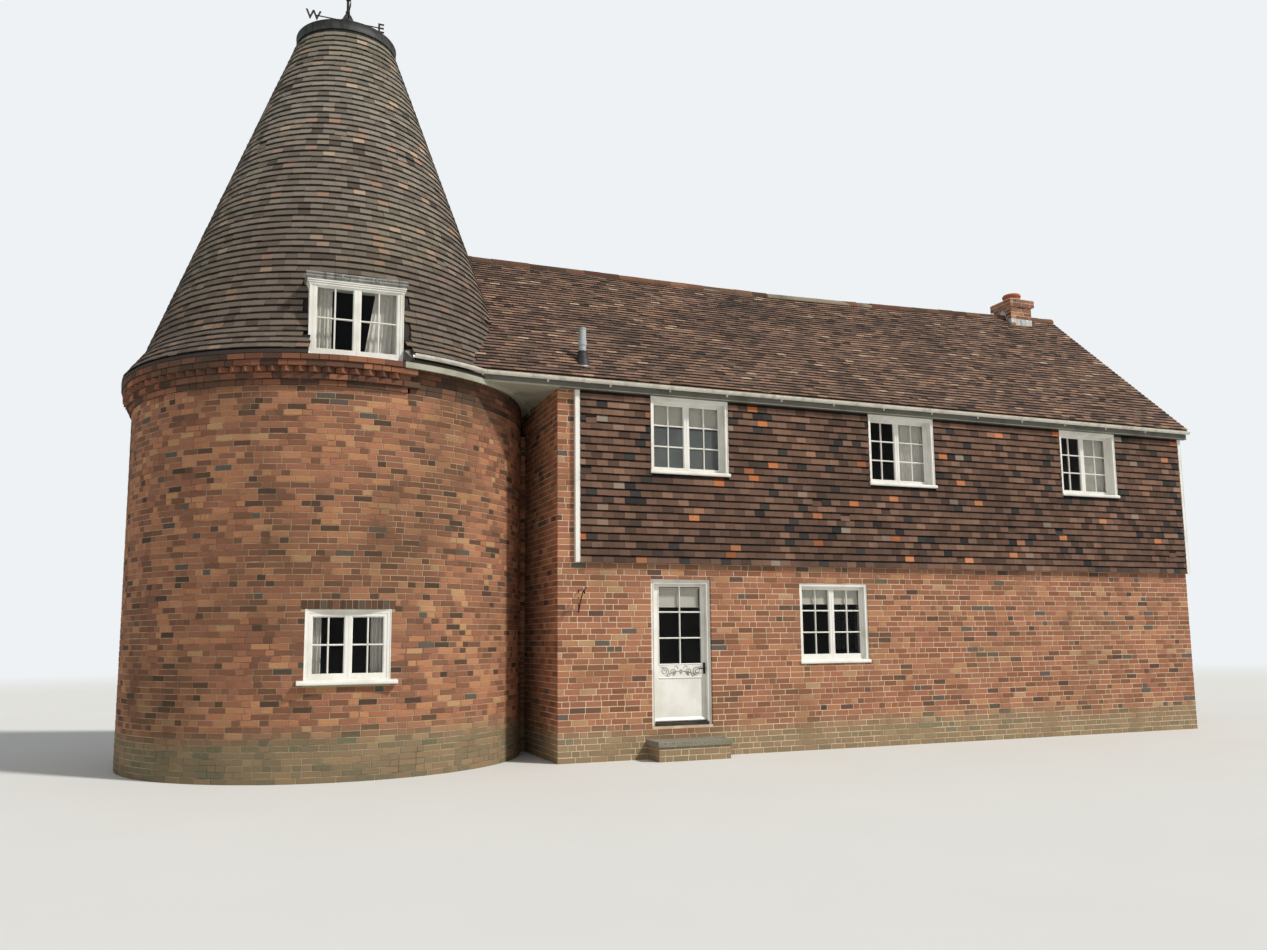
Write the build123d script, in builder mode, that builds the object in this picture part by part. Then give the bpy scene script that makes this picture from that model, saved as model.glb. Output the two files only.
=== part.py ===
from build123d import *
from math import hypot, pi
import os

os.makedirs("parts", exist_ok=True)

# An oast house: a round kiln with a conical roof, joined to a two-storey stowage under a pitched roof.
# Millimetres. The origin is the front left corner of the stowage's brickwork, at the lowest ground line.
# +X runs right along the front, +Y to the back, +Z up.

# Stowage
stowage_length = 11710
stowage_depth = 5900
wall = 300
door_sill = 440
storey_line = 2720
floor_depth = 150
first_floor_level = 3040
first_floor_depth = 220

# Main roof, measured on its tiles
eaves_level = 5307
eaves_overhang = 160
verge_overhang = 140
roof_depth = 190
tile_depth = 40
ridge_left_level = 8040
ridge_dip_level = 8060
ridge_right_level = 8300
ridge_dip_x = 5500
ridge_tile_radius = 115
ridge_tile_depth = 18
ridge_tile_bed = 60

# Eaves joinery
soffit_level = 5150
board = 30
fascia_overhang = 120
fascia_top = 5290
gutter_width = 100
gutter_wall = 5
gutter_top = 5280
kiln_fascia_drop = 50

# Tile hanging and its white boards
tile_hanging_depth = 45
corner_board_left = 236
corner_board_width = 72
corner_board_depth = 60

# Doorway
door_left = 1374
door_width = 938
door_height = 2060
frame_face = 60
frame_setback = 40
frame_depth = 110
leaf_depth = 45
leaf_setback = 100
stop_face = 15
door_gap = 5
latch_gap = 8
stile = 105
lock_rail = 170
foot_rail = 190
glazed_foot = 960
panel_recess = 10
threshold_height = 45
hinge_proud = 6
hinge_height = 100
hinge_plate = 2
hinge_margin = 220
handle_level = 1000
handle_plate_width = 42
handle_plate_height = 220
handle_plate_depth = 8
handle_reach = 50
handle_length = 125
handle_radius = 10
step_top = 270
step_slab = 80
step_reach = 430
step_margin = 90
step_nosing = 25

# Stowage windows, placed above the door sill
casing_face = 45
casing_proud = 10
sash_face = 42
sash_depth = 45
reveal_depth = 130
brick_setback = 15
glass_depth = 6
ground_window_left = 3785
ground_window_width = 1200
ground_window_height = 1200
ground_window_foot = 830
upper_window_width = 1240
upper_window_height = 1130
upper_window_foot = 3580
upper_window_lefts = (1380, 5080, 8940)
back_window_lefts = (2600, 7900)
window_sill_reach = 35
window_sill_depth = 45

# Curtains and blinds behind the windows
curtain_depth = 50
curtain_stand_off = 30
curtain_lift = 55
cloth_side_gap = 5
blind_depth = 25
upper_curtain_lefts = (721, 670)
kiln_curtain_widths = (200, 223)
dormer_curtain_widths = (232, 290)
dormer_curtain_flare = 136
upper_blind_drop = 390
ground_blind_drop = 270
door_blind_margin = 15
door_blind_drop = 240
door_blind_rise = 50

# Kiln
kiln_gap = 50
kiln_y = 2200
kiln_radius = 2750
kiln_wall = 330
kiln_wall_top = 4800
link_width = 920
kiln_floor_level = 4290
segment_angle = 90
kiln_window_width = 1020
kiln_window_height = 900
kiln_window_foot = 710
kiln_window_setback = 50
kiln_reveal_depth = 70
kiln_sill_reach = 60
kiln_sill_margin = 65

# Dog-tooth cornice: one entry for each brick course gives how far it stands out from the wall
course = 75
cornice_steps = (40, 75, 50, 130, 150)
tooth_course_index = 2
tooth_reach = 125
tooth_count = 108
cornice_front_end = 610
cornice_back_end = 1900

# Kiln roof
cone_foot_lip = 35
cone_bell_inset = 200
cone_bell_level = 5380
cone_top_radius = 715
cone_top_level = 10840
cone_depth = 120
curb_depth = 20
curb_height = 115
curb_skirt = 30
curb_gap = 12
cap_height = 420
cap_top_radius = 80
cap_depth = 40

# Weather vane
hub_width = 150
hub_block = 45
hub_height = 175
arm_drop = 140
arm_reach = 480
arm_radius = 9
mast_radius = 20
mast_height = 240
spindle_radius = 8
spindle_height = 360
sleeve_radius = 14
sleeve_gap = 1
sleeve_seat = 0.3
sleeve_cap = 20
pointer_drop = 70
pointer_tail = 420
pointer_nose = 460
pointer_bar = 14
pointer_fin = 120
pointer_head = 90
pointer_depth = 6

# Dormer on the kiln roof
dormer_from_axis = 570
dormer_width = 1170
dormer_height = 1015
dormer_setback = 100
dormer_reach = 800
dormer_cheek = 55
dormer_lead = 70
dormer_lead_lip = 35

# Chimney, vent pipe and bracket
chimney_from_end = 1120
chimney_width = 520
chimney_depth = 500
chimney_top = 8590
cap_course_reach = 45
cap_courses = 2
pot_radius = 180
pot_wall = 25
pot_height = 175
flashing_depth = 6
flashing_height = 150
vent_x = 430
vent_y = 190
vent_radius = 55
vent_wall = 5
vent_top = 6130
vent_skirt_radius = 150
vent_skirt_height = 160
bracket_x = 300
bracket_level = 2340
bracket_reach = 320
bracket_bar = 14

# Values that follow from the sizes above
ridge_y = stowage_depth / 2
chimney_left = stowage_length - chimney_from_end
right_inner = stowage_length - wall
back_inner = stowage_depth - wall
door_head = door_sill + door_height
door_right = door_left + door_width
verge_x = stowage_length + verge_overhang
cornice_top = kiln_wall_top + course * len(cornice_steps)
kiln_eaves_radius = kiln_radius + max(cornice_steps)
kiln_x = -kiln_radius - kiln_gap
kiln_window_left = kiln_x - kiln_window_width / 2
cornice_end_x = kiln_x + cornice_front_end
cornice_back_end_x = kiln_x + cornice_back_end
cone_bell_radius = kiln_eaves_radius - cone_bell_inset
dormer_left = kiln_x - dormer_from_axis
dormer_front = kiln_y - kiln_radius + dormer_setback
curb_top = cone_top_level + curb_height
cap_top = curb_top + cap_height
hub_top = cap_top + hub_height
arm_level = hub_top - arm_drop
mast_top = hub_top + mast_height
spindle_top = mast_top + spindle_height
pointer_level = spindle_top - pointer_drop
dormer_head = cornice_top + dormer_height
kiln_inner = kiln_radius - kiln_wall
kiln_left = kiln_x - kiln_eaves_radius
cone_slope = (cone_bell_radius - cone_top_radius) / (cone_top_level - cone_bell_level)
fit = 0.3


def slope_level(x, y):
    """Height of the main roof's tiles above a point of the plan."""
    if x < ridge_dip_x:
        share = (x - link_left) / (ridge_dip_x - link_left)
        ridge = ridge_left_level + share * (ridge_dip_level - ridge_left_level)
    else:
        share = (x - ridge_dip_x) / (verge_x - ridge_dip_x)
        ridge = ridge_dip_level + share * (ridge_right_level - ridge_dip_level)
    run = (ridge_y - abs(y - ridge_y) + eaves_overhang) / (ridge_y + eaves_overhang)
    return eaves_level + run * (ridge - eaves_level)


def block(x0, x1, y0, y1, z0, z1):
    """A straight block between two corners."""
    with BuildPart(mode=Mode.PRIVATE) as solid:
        with BuildSketch(Plane.XY.offset(z0)):
            with Locations(((x0 + x1) / 2, (y0 + y1) / 2)):
                Rectangle(x1 - x0, y1 - y0)
        extrude(amount=z1 - z0)
    return solid.part


def drum(radius, z0, z1):
    """A round block on the kiln's axis."""
    with BuildPart(mode=Mode.PRIVATE) as solid:
        with BuildSketch(Plane((kiln_x, kiln_y, z0))):
            Circle(radius)
        extrude(amount=z1 - z0)
    return solid.part


def turned(profile):
    """A solid turned round the kiln's axis from a profile of (radius, height) points."""
    with BuildPart(mode=Mode.PRIVATE) as solid:
        with BuildSketch(Plane((kiln_x, kiln_y, 0), x_dir=(1, 0, 0), z_dir=(0, -1, 0))):
            with BuildLine():
                Polyline(*profile, close=True)
            make_face()
        revolve(axis=Axis((kiln_x, kiln_y, 0), (0, 0, 1)))
    return solid.part


def section(x):
    """The plane across the stowage at x, drawn in Y and Z."""
    return Plane(origin=(x, 0, 0), x_dir=(0, 1, 0), z_dir=(1, 0, 0))


def roof_slope(front):
    """One slope of the main roof, carried through the ridge levels so that it sags as the ridge does."""

    def at(run, x, drop):
        y = run if front else stowage_depth - run
        return (y, slope_level(x, y) - drop)

    with BuildPart(mode=Mode.PRIVATE) as solid:
        for x in (link_left, ridge_dip_x, verge_x):
            with BuildSketch(section(x)):
                with BuildLine():
                    Polyline(
                        at(-eaves_overhang, x, 0),
                        at(ridge_y, x, 0),
                        at(ridge_y, x, roof_depth),
                        at(-fascia_overhang + board, x, roof_depth),
                        at(-fascia_overhang + board, x, tile_depth),
                        at(-eaves_overhang, x, tile_depth),
                        close=True,
                    )
                make_face()
        loft(ruled=True)
    return solid.part


def save(solid, label):
    """Labels a finished piece and writes it."""
    solid.label = label
    export_step(solid, f"parts/{label}.step")


link_left = kiln_x + cone_top_radius
cone_space = turned(
    (
        (0, soffit_level - board),
        (kiln_eaves_radius, soffit_level - board),
        (kiln_eaves_radius, cornice_top + cone_foot_lip),
        (cone_bell_radius, cone_bell_level),
        (cone_top_radius, cone_top_level),
        (0, cone_top_level),
    )
)
front_slope = roof_slope(True)
back_slope = roof_slope(False)
chimney_front = ridge_y - chimney_depth / 2
chimney_back = ridge_y + chimney_depth / 2
chimney_right = chimney_left + chimney_width
chimney_space = block(chimney_left, chimney_right, chimney_front, chimney_back, 0, chimney_top)
vent_foot = slope_level(vent_x, vent_y + vent_radius) - roof_depth
with BuildPart(mode=Mode.PRIVATE) as vent_space:
    with BuildSketch(Plane((vent_x, vent_y, vent_foot))):
        Circle(vent_radius)
    extrude(amount=vent_top - vent_foot)

# Main roof
with BuildPart() as front_roof:
    add(front_slope)
    add(cone_space, mode=Mode.SUBTRACT)
    add(chimney_space, mode=Mode.SUBTRACT)
    add(vent_space.part, mode=Mode.SUBTRACT)
save(front_roof.part, "front_roof")

left_of_verge = block(kiln_left, -verge_overhang, 0, 2 * stowage_depth, 0, cone_top_level)
with BuildPart() as back_roof:
    add(back_slope)
    add(left_of_verge, mode=Mode.SUBTRACT)
    add(chimney_space, mode=Mode.SUBTRACT)
save(back_roof.part, "back_roof")

# The steep little slope that closes the roof between the kiln and the stowage, at the back
link_foot_y = ridge_y + (ridge_left_level - eaves_level) * cone_slope
with BuildPart() as link_roof:
    with BuildSketch(section(link_left)):
        with BuildLine():
            Polyline(
                (ridge_y, slope_level(link_left, ridge_y)),
                (link_foot_y, cornice_top),
                (link_foot_y - cone_depth, cornice_top),
                (ridge_y, slope_level(link_left, ridge_y) - cone_depth / cone_slope),
                close=True,
            )
        make_face()
    extrude(amount=-link_left)
    add(cone_space, mode=Mode.SUBTRACT)
    add(back_slope, mode=Mode.SUBTRACT)
save(link_roof.part, "link_roof")

chimney_clear = block(
    chimney_left - flashing_depth,
    chimney_right + flashing_depth,
    chimney_front - flashing_depth,
    chimney_back + flashing_depth,
    0,
    chimney_top,
)
with BuildPart() as ridge_tiles:
    for x in (link_left, ridge_dip_x, verge_x):
        with BuildSketch(section(x)):
            with Locations((ridge_y, slope_level(x, ridge_y) - ridge_tile_bed)):
                Circle(ridge_tile_radius)
    loft(ruled=True)
    for x in (link_left, ridge_dip_x, verge_x):
        with BuildSketch(section(x)):
            with Locations((ridge_y, slope_level(x, ridge_y) - ridge_tile_bed)):
                Circle(ridge_tile_radius - ridge_tile_depth)
    loft(ruled=True, mode=Mode.SUBTRACT)
    add(front_slope, mode=Mode.SUBTRACT)
    add(back_slope, mode=Mode.SUBTRACT)
    add(cone_space, mode=Mode.SUBTRACT)
    add(chimney_clear, mode=Mode.SUBTRACT)
save(ridge_tiles.part, "ridge_tiles")

# Eaves joinery
recess = block(cornice_end_x, 0, kiln_y - kiln_eaves_radius, kiln_y, 0, cone_top_level)
back_recess = block(cornice_back_end_x, 0, kiln_y, kiln_y + kiln_eaves_radius, 0, cone_top_level)
kiln_core = drum(kiln_radius, 0, cornice_top)
beyond_end_wall = block(0, kiln_eaves_radius, 0, stowage_depth, 0, cone_top_level)
with BuildPart() as swept_eaves:
    with BuildSketch(Plane((kiln_x, kiln_y, soffit_level))):
        Circle(kiln_eaves_radius)
    extrude(amount=cornice_top - soffit_level)
    with BuildSketch(Plane((kiln_x, kiln_y, soffit_level - kiln_fascia_drop))):
        Circle(kiln_eaves_radius)
        Circle(kiln_eaves_radius - board, mode=Mode.SUBTRACT)
    extrude(amount=kiln_fascia_drop)
    add(recess, mode=Mode.INTERSECT)
    add(block(cornice_end_x, 0, -fascia_overhang, kiln_y - link_width / 2, soffit_level, cornice_top))
    add(block(cornice_back_end_x, 0, kiln_y + link_width / 2, link_foot_y, soffit_level, cornice_top))
    add(kiln_core, mode=Mode.SUBTRACT)
save(swept_eaves.part, "swept_eaves")


def eaves_board(front, x0):
    """The soffit and fascia along one side of the stowage."""
    side = -1 if front else 1
    face = 0 if front else stowage_depth
    outer = face + side * fascia_overhang
    inner = outer - side * board
    hanging = face + side * tile_hanging_depth
    y0, y1 = sorted((outer, inner))
    s0, s1 = sorted((inner, hanging))
    with BuildPart(mode=Mode.PRIVATE) as solid:
        add(block(x0, verge_x, y0, y1, soffit_level, fascia_top))
        add(block(0, verge_x, s0, s1, soffit_level, cornice_top))
        add(cone_space, mode=Mode.SUBTRACT)
    return solid.part


def gutter(front, x0):
    """A half-round gutter along one side of the stowage."""
    face = -fascia_overhang if front else stowage_depth + fascia_overhang
    centre = face - gutter_width / 2 if front else face + gutter_width / 2
    with BuildPart(mode=Mode.PRIVATE) as solid:
        with BuildSketch(section(x0)):
            with Locations((centre, gutter_top)):
                Circle(gutter_width / 2)
                Circle(gutter_width / 2 - gutter_wall, mode=Mode.SUBTRACT)
            with Locations((centre, gutter_top + gutter_width / 2)):
                Rectangle(gutter_width, gutter_width, mode=Mode.SUBTRACT)
        extrude(amount=verge_x - x0)
        add(cone_space, mode=Mode.SUBTRACT)
    return solid.part


with BuildPart() as eaves_boards:
    add(eaves_board(True, cornice_end_x))
    add(eaves_board(False, -verge_overhang))
    add(swept_eaves.part, mode=Mode.SUBTRACT)
save(eaves_boards.part, "eaves_boards")
with BuildPart() as gutters:
    add(gutter(True, cornice_end_x))
    add(gutter(False, -verge_overhang))
save(gutters.part, "gutters")

# Stowage walls
upper_foot = door_sill + upper_window_foot
ground_foot = door_sill + ground_window_foot
upper_hole = (upper_foot, upper_foot + upper_window_height)
ground_hole = (ground_foot, ground_foot + ground_window_height)
front_upper = [(x, upper_window_width, *upper_hole) for x in upper_window_lefts]
front_ground = [(ground_window_left, ground_window_width, *ground_hole)]
back_upper = front_upper
back_ground = [(x, ground_window_width, *ground_hole) for x in back_window_lefts]


def hole(opening, y0, y1):
    """The space of a window opening, from y0 to y1."""
    left, width, foot, head = opening
    return block(left, left + width, y0, y1, foot, head)


def cut(solid, tools):
    """A solid less the tools that lie in it."""
    with BuildPart(mode=Mode.PRIVATE) as result:
        add(solid)
        for tool in tools:
            add(tool, mode=Mode.SUBTRACT)
    return result.part


save(block(0, door_left, 0, wall, 0, storey_line), "front_wall_left")
save(
    cut(
        block(door_right, stowage_length, 0, wall, 0, storey_line),
        [hole(w, 0, wall) for w in front_ground],
    ),
    "front_wall_right",
)
save(block(door_left, door_right, 0, wall, door_head, storey_line), "doorway_lintel")
save(block(door_left, door_right, 0, wall, 0, door_sill), "doorway_foot")


def side_wall(front, z0):
    """A long wall up to the underside of its roof slope, before its windows are cut."""
    outer, inner = (0, wall) if front else (stowage_depth, back_inner)
    with BuildPart(mode=Mode.PRIVATE) as solid:
        with BuildSketch(section(0)):
            with BuildLine():
                Polyline(
                    (outer, z0),
                    (outer, slope_level(0, outer) - roof_depth / 2),
                    (inner, slope_level(0, inner) - roof_depth / 2),
                    (inner, z0),
                    close=True,
                )
            make_face()
        extrude(amount=stowage_length)
        add(front_slope if front else back_slope, mode=Mode.SUBTRACT)
    return solid.part


def end_wall(x0, x1):
    """An end wall with its gable, up to the underside of both slopes."""
    with BuildPart(mode=Mode.PRIVATE) as solid:
        with BuildSketch(section(x0)):
            with BuildLine():
                Polyline(
                    (wall, 0),
                    (back_inner, 0),
                    (back_inner, slope_level(x0, back_inner) - roof_depth / 2),
                    (ridge_y, slope_level(x0, ridge_y) - roof_depth / 2),
                    (wall, slope_level(x0, wall) - roof_depth / 2),
                    close=True,
                )
            make_face()
        extrude(amount=x1 - x0)
        add(front_slope, mode=Mode.SUBTRACT)
        add(back_slope, mode=Mode.SUBTRACT)
    return solid.part


save(cut(side_wall(True, storey_line), [hole(w, 0, wall) for w in front_upper]), "front_wall_upper")
save(
    cut(side_wall(False, 0), [hole(w, back_inner, stowage_depth) for w in back_upper + back_ground]),
    "back_wall",
)
save(end_wall(0, wall), "left_end_wall")
save(end_wall(right_inner, stowage_length), "right_end_wall")

# Floors, open where the chimney stack passes
with BuildPart() as stowage_floors:
    for level, depth in ((door_sill, floor_depth), (first_floor_level, first_floor_depth)):
        add(block(wall, right_inner, wall, back_inner, level - depth, level))
    add(chimney_space, mode=Mode.SUBTRACT)
save(stowage_floors.part, "stowage_floors")

# Tile hanging and corner boards
hanging_left = corner_board_left + corner_board_width
hanging_right = stowage_length - corner_board_width + tile_hanging_depth
front_hanging = block(hanging_left, hanging_right, -tile_hanging_depth, 0, storey_line, soffit_level)
save(
    cut(front_hanging, [hole(w, -tile_hanging_depth, 0) for w in front_upper]),
    "front_tile_hanging",
)
hanging_back = stowage_depth + tile_hanging_depth
back_hanging = block(
    corner_board_width, hanging_right, stowage_depth, hanging_back, storey_line, soffit_level
)
save(
    cut(back_hanging, [hole(w, stowage_depth, hanging_back) for w in back_upper]),
    "back_tile_hanging",
)
with BuildPart() as gable_tile_hanging:
    with BuildSketch(section(stowage_length)):
        with BuildLine():
            Polyline(
                (0, storey_line),
                (stowage_depth, storey_line),
                (stowage_depth, slope_level(stowage_length, stowage_depth) - roof_depth / 2),
                (ridge_y, slope_level(stowage_length, ridge_y) - roof_depth / 2),
                (0, slope_level(stowage_length, 0) - roof_depth / 2),
                close=True,
            )
        make_face()
    extrude(amount=tile_hanging_depth)
    add(front_slope, mode=Mode.SUBTRACT)
    add(back_slope, mode=Mode.SUBTRACT)
save(gable_tile_hanging.part, "gable_tile_hanging")

with BuildPart() as corner_boards:
    for left, side in ((corner_board_left, -1), (hanging_right, -1), (0, 1), (hanging_right, 1)):
        face = 0 if side < 0 else stowage_depth
        y0, y1 = sorted((face, face + side * corner_board_depth))
        add(block(left, left + corner_board_width, y0, y1, storey_line, soffit_level))
save(corner_boards.part, "corner_boards")

# Kiln walls, in four segments, cut on the diagonals of the kiln's plan
kiln_hole_foot = door_sill + kiln_window_foot
kiln_hole = (
    kiln_window_left,
    kiln_window_width,
    kiln_hole_foot,
    kiln_hole_foot + kiln_window_height,
)
kiln_front_y = kiln_y - kiln_eaves_radius
link = block(kiln_x, 0, kiln_y - link_width / 2, kiln_y + link_width / 2, 0, kiln_wall_top)


def wall_segment(turn, width, z0, z1):
    """The part of the kiln's round wall that lies within a wedge, turned from the front."""
    reach = 2 * kiln_eaves_radius
    with BuildPart(mode=Mode.PRIVATE) as solid:
        with BuildSketch(Plane((kiln_x, kiln_y, z0))):
            Circle(kiln_radius)
            Circle(kiln_inner, mode=Mode.SUBTRACT)
            with BuildLine(mode=Mode.PRIVATE) as wedge:
                start = turn - width / 2
                Polyline(
                    (0, 0),
                    PolarLine((0, 0), reach, start) @ 1,
                    PolarLine((0, 0), reach, start + width) @ 1,
                    close=True,
                )
            make_face(wedge.edges(), mode=Mode.INTERSECT)
        extrude(amount=z1 - z0)
    return solid.part


front_segment = wall_segment(-90, segment_angle, 0, kiln_wall_top)
save(cut(front_segment, [hole(kiln_hole, kiln_front_y, kiln_y)]), "kiln_wall_front")
save(wall_segment(180, segment_angle, 0, kiln_wall_top), "kiln_wall_left")
save(wall_segment(90, segment_angle, 0, kiln_wall_top), "kiln_wall_back")
with BuildPart() as kiln_wall_right:
    add(wall_segment(0, segment_angle, 0, kiln_wall_top))
    add(link)
    add(drum(kiln_inner, 0, kiln_wall_top), mode=Mode.SUBTRACT)
save(kiln_wall_right.part, "kiln_wall_right")

# Cornice: stepped brick courses with a course of dog teeth, plain where the stowage roof meets the kiln
with BuildPart() as kiln_cornice:
    for level, step in enumerate(cornice_steps):
        with BuildSketch(Plane((kiln_x, kiln_y, kiln_wall_top + level * course))):
            Circle(kiln_radius + step)
        extrude(amount=course)
    tooth_root = kiln_radius + cornice_steps[tooth_course_index]
    tooth_pitch = 2 * pi * tooth_root / tooth_count
    with BuildSketch(Plane((kiln_x, kiln_y, kiln_wall_top + tooth_course_index * course))):
        with PolarLocations(tooth_root, tooth_count):
            Polygon(
                (-course, -tooth_pitch / 2),
                (0, -tooth_pitch / 2),
                (tooth_reach - cornice_steps[tooth_course_index], 0),
                (0, tooth_pitch / 2),
                (-course, tooth_pitch / 2),
                align=None,
            )
    extrude(amount=course)
    add(cut(recess, [kiln_core]), mode=Mode.SUBTRACT)
    add(cut(back_recess, [kiln_core]), mode=Mode.SUBTRACT)
    add(beyond_end_wall, mode=Mode.SUBTRACT)
    add(drum(kiln_inner, kiln_wall_top, cornice_top), mode=Mode.SUBTRACT)
save(kiln_cornice.part, "kiln_cornice")

# Kiln roof, open behind the dormer
dormer_right = dormer_left + dormer_width
dormer_back = dormer_front + dormer_reach
dormer_space = block(dormer_left, dormer_right, kiln_front_y, dormer_back, soffit_level, dormer_head)
cone_shell = turned(
    (
        (kiln_eaves_radius, cornice_top),
        (kiln_eaves_radius, cornice_top + cone_foot_lip),
        (cone_bell_radius, cone_bell_level),
        (cone_top_radius, cone_top_level),
        (cone_top_radius - cone_depth, cone_top_level),
        (cone_bell_radius - cone_depth, cone_bell_level),
        (cone_bell_radius - cone_depth, cornice_top),
    )
)
save(cut(cone_shell, [dormer_space, beyond_end_wall]), "kiln_roof")

curb_radius = cone_top_radius + curb_gap + curb_depth
kiln_cap = turned(
    (
        (cone_top_radius + curb_gap, cone_top_level - curb_skirt),
        (curb_radius, cone_top_level - curb_skirt),
        (curb_radius, curb_top),
        (cap_top_radius, cap_top),
        (0, cap_top),
        (0, cap_top - cap_depth),
        (cap_top_radius, cap_top - cap_depth),
        (cone_top_radius - cone_depth, curb_top),
        (cone_top_radius - cone_depth, cone_top_level),
        (cone_top_radius + curb_gap, cone_top_level),
    )
)
save(kiln_cap, "kiln_cap")

# Kiln floors
with BuildPart() as kiln_floors:
    for level in (door_sill, kiln_floor_level):
        add(drum(kiln_inner - fit, level - floor_depth, level))
save(kiln_floors.part, "kiln_floors")


def arm(axis_dir):
    """A round compass arm through the mast."""
    plane = Plane(origin=(kiln_x, kiln_y, arm_level), z_dir=axis_dir)
    with BuildPart(mode=Mode.PRIVATE) as solid:
        with BuildSketch(plane.offset(-arm_reach)):
            Circle(arm_radius)
        extrude(amount=2 * arm_reach)
    return solid.part


with BuildPart() as vane_mast:
    with BuildSketch(Plane((kiln_x, kiln_y, cap_top))):
        Rectangle(hub_width, hub_width)
    extrude(amount=hub_block)
    with BuildSketch(Plane((kiln_x, kiln_y, cap_top + hub_block))):
        Rectangle(hub_width, hub_width)
    with BuildSketch(Plane((kiln_x, kiln_y, hub_top))):
        Rectangle(2 * mast_radius, 2 * mast_radius)
    loft()
    add(drum(mast_radius, hub_top, mast_top))
    add(drum(spindle_radius, mast_top, spindle_top))
    add(arm((1, 0, 0)))
    add(arm((0, 1, 0)))
save(vane_mast.part, "vane_mast")

sleeve_top = spindle_top + sleeve_cap
with BuildPart() as vane_pointer:
    add(drum(sleeve_radius, mast_top + sleeve_seat, sleeve_top))
    with BuildSketch(Plane((kiln_x, kiln_y - pointer_depth / 2, pointer_level), (1, 0, 0), (0, -1, 0))):
        Rectangle(pointer_tail + pointer_nose, pointer_bar)
        with Locations((pointer_nose, 0)):
            Polygon(
                (-pointer_head, -pointer_head / 2),
                (pointer_head / 2, 0),
                (-pointer_head, pointer_head / 2),
                align=None,
            )
        with Locations((-pointer_tail, 0)):
            Polygon(
                (-pointer_fin / 2, -pointer_fin / 2),
                (pointer_fin, 0),
                (-pointer_fin / 2, pointer_fin / 2),
                align=None,
            )
    extrude(amount=-pointer_depth)
    add(drum(spindle_radius + sleeve_gap, mast_top, spindle_top + sleeve_seat), mode=Mode.SUBTRACT)
save(vane_pointer.part, "vane_pointer")


def window(opening, face, inward, casing_depth, sash_y):
    """A casement window in an opening: its frame with two sashes, and its two panes of glass.

    face is the casing's outer face, inward is +1 or -1 along Y and sash_y the sashes' outer face.
    """
    left, width, foot, head = opening
    y0, y1 = sorted((face, face + inward * casing_depth))
    s0, s1 = sorted((sash_y, sash_y + inward * sash_depth))
    glass_y = (s0 + s1 - glass_depth) / 2
    lining = (left + casing_face, width - 2 * casing_face, foot + casing_face, head - casing_face)
    rim = casing_face + sash_face
    pane_width = width / 2 - rim - sash_face
    panes = [(x, pane_width, foot + rim, head - rim) for x in (left + rim, left + width / 2 + sash_face)]
    with BuildPart(mode=Mode.PRIVATE) as solid:
        add(hole(opening, y0, y1))
        add(hole(lining, y0, y1), mode=Mode.SUBTRACT)
        add(hole(lining, s0, s1))
        for pane in panes:
            add(hole(pane, s0, s1), mode=Mode.SUBTRACT)
    return solid.part, [hole(pane, glass_y, glass_y + glass_depth) for pane in panes]


def window_sill(opening, face, outward):
    """A sill that stands out from a window's casing, as wide as the casing."""
    left, width, foot, _ = opening
    y0, y1 = sorted((face, face + outward * window_sill_reach))
    return block(left, left + width, y0, y1, foot, foot + window_sill_depth)


frames = []
sheets = []
hung_face = tile_hanging_depth + casing_proud
for opening, front in (
    [(w, True) for w in front_upper + front_ground] + [(w, False) for w in back_upper + back_ground]
):
    hung = opening[2] == upper_foot
    out = hung_face if hung else -brick_setback
    face = -out if front else stowage_depth + out
    inward = 1 if front else -1
    sash_y = face + inward * (reveal_depth if hung else reveal_depth / 2)
    frame, panes = window(opening, face, inward, reveal_depth + sash_depth, sash_y)
    with BuildPart() as framed:
        add(frame)
        add(window_sill(opening, face, -inward))
    frames.append((front, framed.part))
    sheets.append((front, panes))
for side, front in (("front", True), ("back", False)):
    with BuildPart() as side_frames:
        for is_front, frame in frames:
            if is_front == front:
                add(frame)
    save(side_frames.part, f"{side}_window_frames")
    with BuildPart() as side_glass:
        for is_front, panes in sheets:
            if is_front == front:
                add(panes)
    save(side_glass.part, f"{side}_window_glass")

# Kiln window, its sill following the round wall
kiln_face = kiln_y - kiln_radius + kiln_window_setback
frame, panes = window(kiln_hole, kiln_face, 1, kiln_reveal_depth + sash_depth, kiln_face + casing_proud)
sill_foot = kiln_hole_foot
sill_left = kiln_window_left - kiln_sill_margin
sill_right = kiln_window_left + kiln_window_width + kiln_sill_margin
sill_front = kiln_y - kiln_radius - kiln_sill_reach
with BuildPart() as kiln_window_frame:
    add(block(sill_left, sill_right, sill_front, kiln_face, sill_foot, sill_foot + window_sill_depth))
    add(cut(kiln_core, [hole(kiln_hole, kiln_front_y, kiln_y)]), mode=Mode.SUBTRACT)
    add(frame)
save(kiln_window_frame.part, "kiln_window_frame")

# Dormer: cheeks, lead roof and window
dormer_opening = (dormer_left, dormer_width, cornice_top, dormer_head)
cheek_back = dormer_front + kiln_reveal_depth + sash_depth
dormer_frame, dormer_panes = window(
    dormer_opening, dormer_front, 1, kiln_reveal_depth + sash_depth, dormer_front + casing_proud
)
save(dormer_frame, "dormer_window_frame")
with BuildPart() as kiln_window_glass:
    add(panes + dormer_panes)
save(kiln_window_glass.part, "kiln_window_glass")
inside_cone = turned(
    (
        (0, cornice_top),
        (cone_bell_radius - cone_depth, cornice_top),
        (cone_bell_radius - cone_depth, cone_bell_level),
        (cone_top_radius - cone_depth, cone_top_level),
        (0, cone_top_level),
    )
)
with BuildPart() as dormer_cheeks:
    for left in (dormer_left, dormer_right - dormer_cheek):
        add(block(left, left + dormer_cheek, cheek_back, dormer_back, cornice_top, dormer_head))
    add(inside_cone, mode=Mode.SUBTRACT)
save(dormer_cheeks.part, "dormer_cheeks")
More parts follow.
